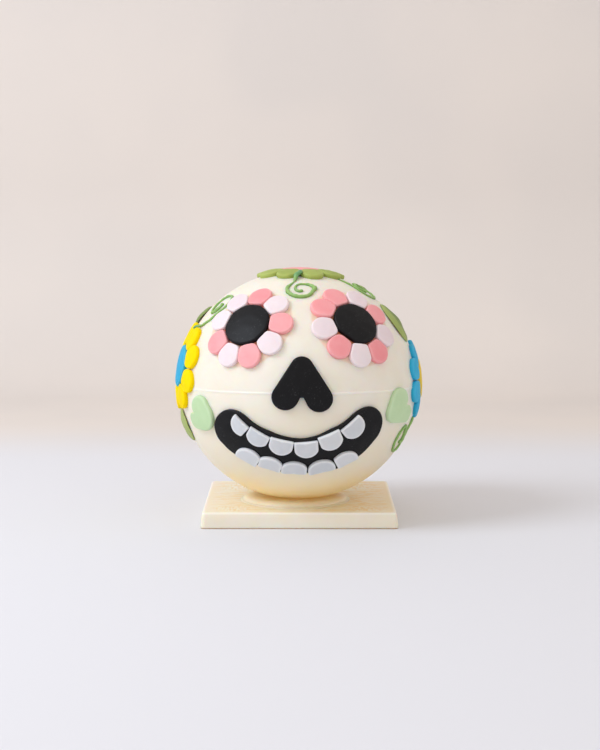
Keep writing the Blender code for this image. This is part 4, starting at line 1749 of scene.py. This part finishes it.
@dataclass(frozen=True)
class Leaf:
    """A leaf: a pointed, waved sheet of paste, folded up along its midrib, with scored veins.

    Attributes:
        place: where it is.
        where: its direction on the ball.
        bearing: which way its tip points.
        length: from end to end.
        width: at its widest.
        arch: how far its middle stands off the shell.
        fold: how much higher its midrib is than its sides.
        rib_side: how far the midrib lies from its middle, as a share of its half width.
        thick: its thickness.
        blunt: the power of its width's fall towards the tips; the lower, the blunter they are.
        off_shell: how far its sides stand off the shell.
        groove: the depth of the midrib's groove, as a share of its thickness.
        veins: how close together the veins are across it.
        slant: how close together they are along it.
        score: their depth.
    """

    place: str
    where: Point
    bearing: float
    length: float
    width: float
    arch: float = 0.7
    fold: float = 0.9
    rib_side: float = -0.2
    thick: float = 1.5
    blunt: float = 0.62
    off_shell: float = 0.12
    groove: float = 0.16
    veins: float = 30.0
    slant: float = 26.0
    score: float = 0.14

    def build(self, ball: BallForm, finish: bpy.types.Material) -> None:
        """Make it: under and upper sheets over the same grid, which meet round the rim.

        A sheet's lift is an arch along it, a roof across it that is highest at the midrib, slow
        waves, and on the upper one the thickness, a groove at the midrib and veins that slant away
        from it.

        Args:
            ball: the ball's form.
            finish: its material.
        """
        name = f"{self.place}_leaf"
        rows, half = 110, 64
        share = -np.cos(np.linspace(0.0, math.pi, rows))[:, None]
        side = np.sin(np.linspace(-QUARTER_TURN, QUARTER_TURN, half))[None, :]
        taper = 1 - share**2
        x = self.width / 2 * taper**self.blunt * side
        y = self.length / 2 * share + 0 * side
        flat = np.stack([x, y], -1)
        off_rib = side - self.rib_side * taper
        span = 1 + np.where(off_rib < 0, 1, -1) * self.rib_side * taper
        roof = 1 - np.abs(off_rib) / span
        phase = self.veins * np.abs(off_rib) - self.slant * share + 1.2 * ripples(flat, 9.0, name)
        veins = 0.5 + 0.5 * np.sin(phase)
        scored = smooth((np.abs(off_rib) - 0.06) / 0.1) * np.where(off_rib > 0, 1.0, 0.35)
        rim = np.maximum(1 - side**2, 0.0) ** 0.3
        rise = (self.arch + 0.25 * ripples(flat, 16.0, name) + self.fold * roof) * taper
        under = self.off_shell + rise
        groove = self.groove * np.exp(-((off_rib / 0.06) ** 2)) * np.sqrt(taper)
        body = self.thick * taper**0.3 * rim
        over = under + body * (1 - groove) - self.score * (1 - veins) * scored * taper * rim
        # Marks the side of the midrib that gets painted light.
        painted_light = smooth(0.5 - off_rib * 3.0)
        marks = {
            "lines": doubled(0 * veins, veins * scored),
            "painted_light": doubled(painted_light, painted_light),
            "under": doubled(1 + 0 * painted_light, smooth((side**2 - 0.975) / 0.025) + 0 * painted_light),
        }
        patch = Patch(ball, *self.where, 90.0 - self.bearing)
        grid = patch.wrap(doubled(x, x), doubled(y, y), doubled(under, over))
        piece = surface(name, Sheet(grid, marks))
        enlist(piece, finish, Slot.OLIVE, f"leaf_{self.place}")


@dataclass(frozen=True)
class Vine:
    """A vine of piped icing: a stalk that runs into a curl, half round and uneven as it was piped.

    Attributes:
        place: where it is.
        where: its direction on the ball.
        centre: the curl's centre.
        stalk: the stalk's points, each as x, y, a lift off the shell and a size.
        curl: the curl's knots, each as a bearing, a distance from its centre and a size.
        half_width: half the bead's width at a size of 1.
        height: the bead's height there.
        sunk: how far its flat side bulges down there.
        off_shell: how far its middle line stands off the shell.
        spacing: the length of a step along it.
        window: the length over which its line is averaged.
    """

    place: str
    where: Point
    centre: Point
    stalk: Sequence[tuple[float, float, float, float]]
    curl: Sequence[tuple[float, float, float]]
    half_width: float = 1.0
    height: float = 1.1
    sunk: float = 0.45
    off_shell: float = 0.12
    spacing: float = 0.22
    window: float = 2.2

    def route(self) -> Array:
        """The middle line.

        Between two knots of the curl the bearing, the distance and the size change evenly.

        Returns:
            Its points as x, y, lift and size, the stalk and the curl drawn as one smooth line.
        """
        order = np.arange(len(self.curl))
        fine = np.linspace(0.0, order[-1], 20 * order[-1] + 1)
        bearing, reach, size = (np.interp(fine, order, part) for part in np.array(self.curl).T)
        angle = np.radians(bearing)
        x = self.centre[0] + reach * np.cos(angle)
        y = self.centre[1] + reach * np.sin(angle)
        corners = np.vstack([np.array(self.stalk), np.column_stack([x, y, 0 * x, size])])
        return evened(corners, self.spacing, self.window)

    def build(self, ball: BallForm, finish: bpy.types.Material) -> None:
        """Make it: a flat-bottomed round section carried along the route, closed by round ends.

        Args:
            ball: the ball's form.
            finish: its material.
        """
        name = f"{self.place}_vine"
        line = self.route()
        heading = np.gradient(line[:, :2], axis=0)
        heading /= np.linalg.norm(heading, axis=1, keepdims=True)
        beside = np.column_stack([-heading[:, 1], heading[:, 0]])
        run = run_along(line[:, :3])
        nearest = np.minimum(run, run[-1] - run) / (self.half_width * line[:, 3])
        ends = np.where(nearest < 1, np.sqrt(np.clip(nearest * (2 - nearest), 0.0, 1.0)), 1.0)
        pulse = 1 + 0.1 * ripples(line[:, :2], 5.0, name)
        size = (ends * pulse * line[:, 3])[:, None]
        around = bearings(24)[None, :]
        across = self.half_width * np.cos(around) * size
        dome = np.sin(around)
        lift = np.where(dome > 0, self.height * dome, self.sunk * dome) * size
        flat = line[:, None, :2] + across[..., None] * beside[:, None, :]
        rise = line[:, 2:3] + self.off_shell + lift
        grid = Patch(ball, *self.where).wrap(flat[..., 0], flat[..., 1], rise)
        raised = np.broadcast_to(smooth(line[:, 2:3] / 2.0), rise.shape)
        marks = {"crest": np.maximum(dome, 0.0) + 0 * size, "raised": raised}
        piece = surface(name, Sheet(grid, marks))
        enlist(piece, finish, Slot.VINE, f"vine_{self.place}")


@dataclass(frozen=True)
class Studio:
    """A plain pale floor and backdrop, soft light from the upper left, and the camera.

    Attributes:
        camera_at: the camera's place.
        pitch: how far it looks down.
        lens: its focal length.
        sensor: the length of its sensor along the picture's long side.
        key_at: the light's place.
        key_size: the width of its square.
        key_power: its power in watts.
        key_tint: its colour.
        aim: the place that it looks at.
        air: the colour of the light from all round.
        air_strength: that light's strength.
        wall: the backdrop's colour.
        wall_cloud: the colour of its faint clouds.
        floor: the floor's colour.
    """

    camera_at: Place = (0.4, -1083.8, 199.8)
    pitch: float = 5.87
    lens: float = 81.6
    sensor: float = 36.0
    key_at: Place = (-1000.0, -460.0, 1000.0)
    key_size: float = 600.0
    key_power: float = 10.5
    key_tint: Colour = (0.80, 0.88, 1.0)
    aim: Place = (0.0, 0.0, 80.0)
    air: Colour = (1.0, 0.945, 0.91)
    air_strength: float = 0.83
    wall: Colour = (0.80, 0.74, 0.69)
    wall_cloud: Colour = (0.72, 0.68, 0.65)
    floor: Colour = (0.78, 0.79, 0.83)

    def build(self) -> None:
        """Set the stage."""
        self.sweep_backdrop()
        self.light()
        world = bpy.data.worlds.new("studio_air")
        world.use_nodes = True
        background = world.node_tree.nodes["Background"]
        background.inputs["Color"].default_value = (*self.air, 1.0)
        background.inputs["Strength"].default_value = self.air_strength
        scene = bpy.context.scene
        scene.world = world
        scene.view_settings.view_transform = "Standard"
        lens = bpy.data.cameras.new("camera")
        lens.lens = self.lens
        lens.sensor_width = self.sensor
        lens.clip_end = 50.0
        camera = bpy.data.objects.new("camera", lens)
        camera.location = [part * MM for part in self.camera_at]
        camera.rotation_euler = (math.radians(90.0 - self.pitch), 0.0, 0.0)
        scene.collection.objects.link(camera)
        scene.camera = camera

    def sweep_backdrop(self) -> None:
        """The floor and the wall behind it, one sheet bent on a round, carried along X."""
        bend = np.linspace(-QUARTER_TURN, 0.0, 25)
        front, back, bend_radius, top, side = -3.0, 0.62, 0.22, 3.0, 4.0
        y = np.concatenate([[front, 0.0], back + bend_radius * np.cos(bend), [back + bend_radius]])
        z = np.concatenate([[0.0, 0.0], bend_radius * (1 + np.sin(bend)), [top]])
        x = np.broadcast_to([-side, side], (len(y), 2))
        grid = np.stack([x, np.tile(y[:, None], 2), np.tile(z[:, None], 2)], -1)
        sheet = surface("backdrop", Sheet(grid, wraps=False))
        graph = Graph("backdrop_paper")
        depth = graph.part(graph.place, "Y")
        clouds = graph.noise(260.0).between(0.35, 0.65) * 0.5
        tone = graph.mix(clouds, self.wall, self.wall_cloud)
        colour = graph.mix(depth.between(0.2, 0.45), self.floor, tone)
        sheet.data.materials.append(graph.finished(colour, 0.7, graph.bump(graph.noise(1.5), 0.02)))

    def light(self) -> None:
        """Hang the one soft square light and turn it to the ball."""
        lamp = bpy.data.lights.new("key", "AREA")
        lamp.shape = "RECTANGLE"
        lamp.size = lamp.size_y = self.key_size * MM
        lamp.energy = self.key_power
        lamp.color = self.key_tint
        held = bpy.data.objects.new("key", lamp)
        held.location = [part * MM for part in self.key_at]
        aim = Vector([part * MM for part in self.aim]) - held.location
        held.rotation_euler = aim.to_track_quat("-Z", "Y").to_euler()
        bpy.context.scene.collection.objects.link(held)


def finishes() -> Finishes:
    """The paste in each of its colours.

    Returns:
        Each slot's material.
    """
    # Each paste's third colour is its painted highlight along the rim.
    pastes = (
        Paste(
            Slot.PINK,
            (0.90, 0.31, 0.33),
            (0.96, 0.42, 0.43),
            (0.97, 0.55, 0.55),
            0.4,
            powder=0.05,
        ),
        Paste(Slot.BLUSH, (0.83, 0.70, 0.73), (0.88, 0.77, 0.79), (0.96, 0.88, 0.88), 0.4),
        Paste(
            Slot.BLACK,
            (0.003, 0.003, 0.004),
            (0.006, 0.006, 0.007),
            (0.013, 0.013, 0.015),
            roughness=0.42,
            powder=0.1,
            glow=0.0,
            gloss=0.2,
        ),
        Paste(Slot.TOOTH, (0.60, 0.63, 0.66), (0.70, 0.72, 0.74), (0.92, 0.93, 0.94), 0.6),
        Paste(Slot.MINT, (0.50, 0.69, 0.39), (0.58, 0.76, 0.47), (0.70, 0.84, 0.60), 0.4),
        Paste(
            Slot.YELLOW,
            (0.95, 0.66, 0.0),
            (1.0, 0.75, 0.0),
            (1.0, 0.80, 0.01),
            0.3,
            glow=0.1,
            gloss=0.05,
        ),
        Paste(
            Slot.SKY_BLUE,
            (0.012, 0.37, 0.62),
            (0.03, 0.46, 0.75),
            (0.13, 0.56, 0.80),
            0.5,
            gloss=0.2,
        ),
        Paste(Slot.MARIGOLD, (0.80, 0.54, 0.03), (0.88, 0.64, 0.06), (0.95, 0.74, 0.15), 0.3),
        Paste(Slot.OLIVE, (0.31, 0.39, 0.08), (0.41, 0.49, 0.12), (0.52, 0.60, 0.18), 0.4),
    )
    return {paste.slot: paste.material() for paste in pastes}


def eye_petals(
    around: Sequence[float], strays: Sequence[float], colours: str
) -> list[tuple[float, float, Slot]]:
    """The petals of an eye, from their bearings, strays and letters: P for pink, L for blush."""
    slots = [Slot.PINK if letter == "P" else Slot.BLUSH for letter in colours]
    return list(zip(around, strays, slots))


def sub_assemblies() -> list[Union[Eye, Flower, Heart, Smile]]:
    """Everything of rolled paste on the ball but the leaves.

    Returns:
        The pieces in the order in which they are made.
    """
    left_around = (88.0, 49.0, 8.0, -32.0, -72.0, -109.0, -146.0, 169.0, 128.0)
    left_strays = (0.3, -0.2, -0.1, 0.0, 0.3, 0.4, -0.2, -0.8, 0.4)
    right_around = (105.0, 63.0, 22.0, -22.0, -62.0, -99.0, -137.0, -177.0, 142.0)
    right_strays = (0.0, -0.3, -0.6, -0.4, 0.3, 0.0, 0.5, 0.3, 0.2)
    soft = Rolled(2.1, edge=1.5, crown=0.04, dents=0.06)
    left_petals = eye_petals(left_around, left_strays, "PLPLPLPLL")
    right_petals = eye_petals(right_around, right_strays, "PLPLPLPLP")
    return [
        Eye("left", (-29.1, 33.5), left_petals),
        Eye("right", (33.3, 34.0), right_petals, disc_flats=((-137.0, 13.1),)),
        Heart(
            "nose_heart",
            "nose",
            (1.6, 3.8),
            ((-9.8, -6.8, 8.1), (10.3, -8.0, 8.1), (0.0, 11.2, 6.8)),
            Rolled(2.2, edge=1.2, crown=0.02, dents=0.06),
            Slot.BLACK,
            web=((0.2, -4.9, 2.4),),
        ),
        Heart(
            "left_cheek_heart",
            "cheek_left",
            (-54.0, -12.0),
            ((2.0, 4.5, 8.1), (-4.5, -3.4, 6.0), (3.6, -0.6, 9.3)),
            soft,
            Slot.MINT,
            (160.0, 2.4),
        ),
        Heart(
            "right_cheek_heart",
            "cheek_right",
            (57.0, -9.0),
            ((-3.2, 4.5, 8.9), (6.7, -3.8, 5.8), (-7.7, -2.1, 6.7)),
            soft,
            Slot.MINT,
            (35.0, 2.0),
        ),
        Smile(),
        Flower(
            "crown",
            (118.0, 88.9, 118.0),
            -110.0,
            Slot.OLIVE,
            Slot.PINK,
            disc_thick=1.8,
            reach=20.3,
        ),
        Flower(
            "left",
            (-79.0, 10.4, 0.0),
            20.0,
            Slot.YELLOW,
            Slot.SKY_BLUE,
            spread=126.0,
            reach=21.0,
            strays=((7, 0.5),),
        ),
        Flower(
            "right",
            (89.5, 3.4, 0.0),
            120.0,
            Slot.SKY_BLUE,
            Slot.MARIGOLD,
            disc_thick=2.8,
            strays=((0, -3.0), (1, -3.2), (5, -2.4), (6, -3.0)),
        ),
    ]


def leaves() -> list[Leaf]:
    """The four leaves."""
    return [
        Leaf("right_brow", (76.5, 34.0), 97.0, 29.5, 20.5, arch=0.3, fold=1.0, rib_side=-0.55),
        Leaf("left_brow", (-96.0, 35.4), 75.0, 21.0, 13.0),
        Leaf("left_jaw", (-80.3, -19.2), -66.0, 23.6, 16.0, arch=0.4, rib_side=0.3, blunt=0.5),
        Leaf("right_crown", (112.0, 53.5), -30.0, 21.0, 14.0),
    ]


def vines() -> list[Vine]:
    """The four vines.

    Returns:
        The vines, each with the knots of its stalk and of its curl.
    """
    over_crown = (
        (1.1, 16.5, 2.3, 1.2), (0.6, 13.8, 2.4, 1.7), (-0.2, 12.4, 2.4, 1.2),
        (-1.8, 9.9, 2.0, 1.9), (-2.3, 7.6, 0.8, 1.1), (-3.0, 4.8, 0.0, 0.55),
        (-4.0, 2.6, 0.0, 0.6),
    )
    below_crown = (
        (150.0, 8.5, 1.05), (200.0, 8.2, 1.3), (300.0, 8.0, 1.25), (345.0, 7.3, 1.2),
        (375.0, 8.8, 1.6), (413.0, 7.4, 1.0), (433.0, 6.5, 0.75), (465.0, 5.9, 0.75),
        (500.0, 4.2, 0.8), (535.0, 3.2, 0.9), (585.0, 2.7, 0.9), (625.0, 2.4, 1.2),
        (670.0, 1.3, 1.4),
    )
    over_yellow = (
        (-19.5, -15.2, 2.2, 0.9), (-17.5, -13.6, 2.4, 0.9), (-15.5, -13.0, 1.2, 0.9),
        (-12.5, -12.0, 0.2, 0.9), (-8.8, -9.8, 0.0, 0.9), (-5.8, -8.2, 0.0, 0.9),
        (-2.4, -2.8, 0.0, 0.9),
    )
    by_left_eye = (
        (-25.0, 7.6, 0.9), (180.0, 7.6, 0.9), (215.0, 8.4, 0.9), (238.0, 8.8, 1.1),
        (255.0, 7.0, 1.2), (275.0, 4.6, 1.2), (305.0, 2.6, 1.3), (335.0, 0.4, 1.4),
    )
    from_crown = (
        (-10.0, 15.5, 0.0, 0.55), (-10.7, 12.6, 0.0, 0.6), (-10.9, 10.1, 0.0, 0.65),
        (-11.1, 7.8, 0.0, 0.7),
    )
    by_right_eye = (
        (155.0, 8.9, 0.75), (390.0, 8.9, 0.85), (440.0, 7.6, 0.85), (490.0, 5.2, 0.85),
        (531.0, 3.0, 0.9), (580.0, 2.5, 0.95), (625.0, 1.2, 1.1),
    )
    under_petal = ((15.5, 13.5, 0.0, 1.2), (11.9, 9.9, 0.0, 1.1), (8.7, 6.1, 0.0, 0.9))
    below_petal = (
        (40.0, 9.6, 0.8), (-6.0, 7.5, 0.9), (-40.0, 7.8, 0.9), (-64.0, 9.2, 0.9),
        (-92.0, 9.2, 1.0), (-138.0, 7.8, 1.0), (-200.0, 8.2, 1.0), (-253.0, 9.0, 1.0),
        (-272.0, 9.6, 1.0), (-292.0, 5.5, 1.0), (-330.0, 3.6, 1.3), (-400.0, 3.4, 1.4),
        (-450.0, 1.0, 1.2),
    )
    return [
        Vine("forehead", (1.0, 62.0), (0.8, -5.5), over_crown, below_crown),
        Vine("left_temple", (-57.0, 42.0), (-6.0, 5.2), over_yellow, by_left_eye),
        Vine("right_temple", (82.0, 57.0), (-4.0, -0.8), from_crown, by_right_eye),
        Vine("right_jaw", (69.5, -26.2), (0.0, 0.0), under_petal, below_petal),
    ]


def main() -> None:
    """Build the classes in order."""
    logging.basicConfig(level=logging.INFO, format="%(message)s")
    bead = 0.25
    ball = BallForm.of_frame(bead)
    colours = finishes()
    paste = sub_assemblies()
    Shell(ball, bead, [part.where for part in paste if isinstance(part, Eye)]).build()
    seat = SeatRing(ball)
    seat.build()
    Slab(np.array(seat.middle), seat.radius).build()
    for part in paste:
        part.build(ball, colours)
    leaf_finish = LeafPaste().material()
    for leaf in leaves():
        leaf.build(ball, leaf_finish)
    icing = PipedIcing().material()
    for vine in vines():
        vine.build(ball, icing)
    Studio().build()


if __name__ == "__main__":
    main()
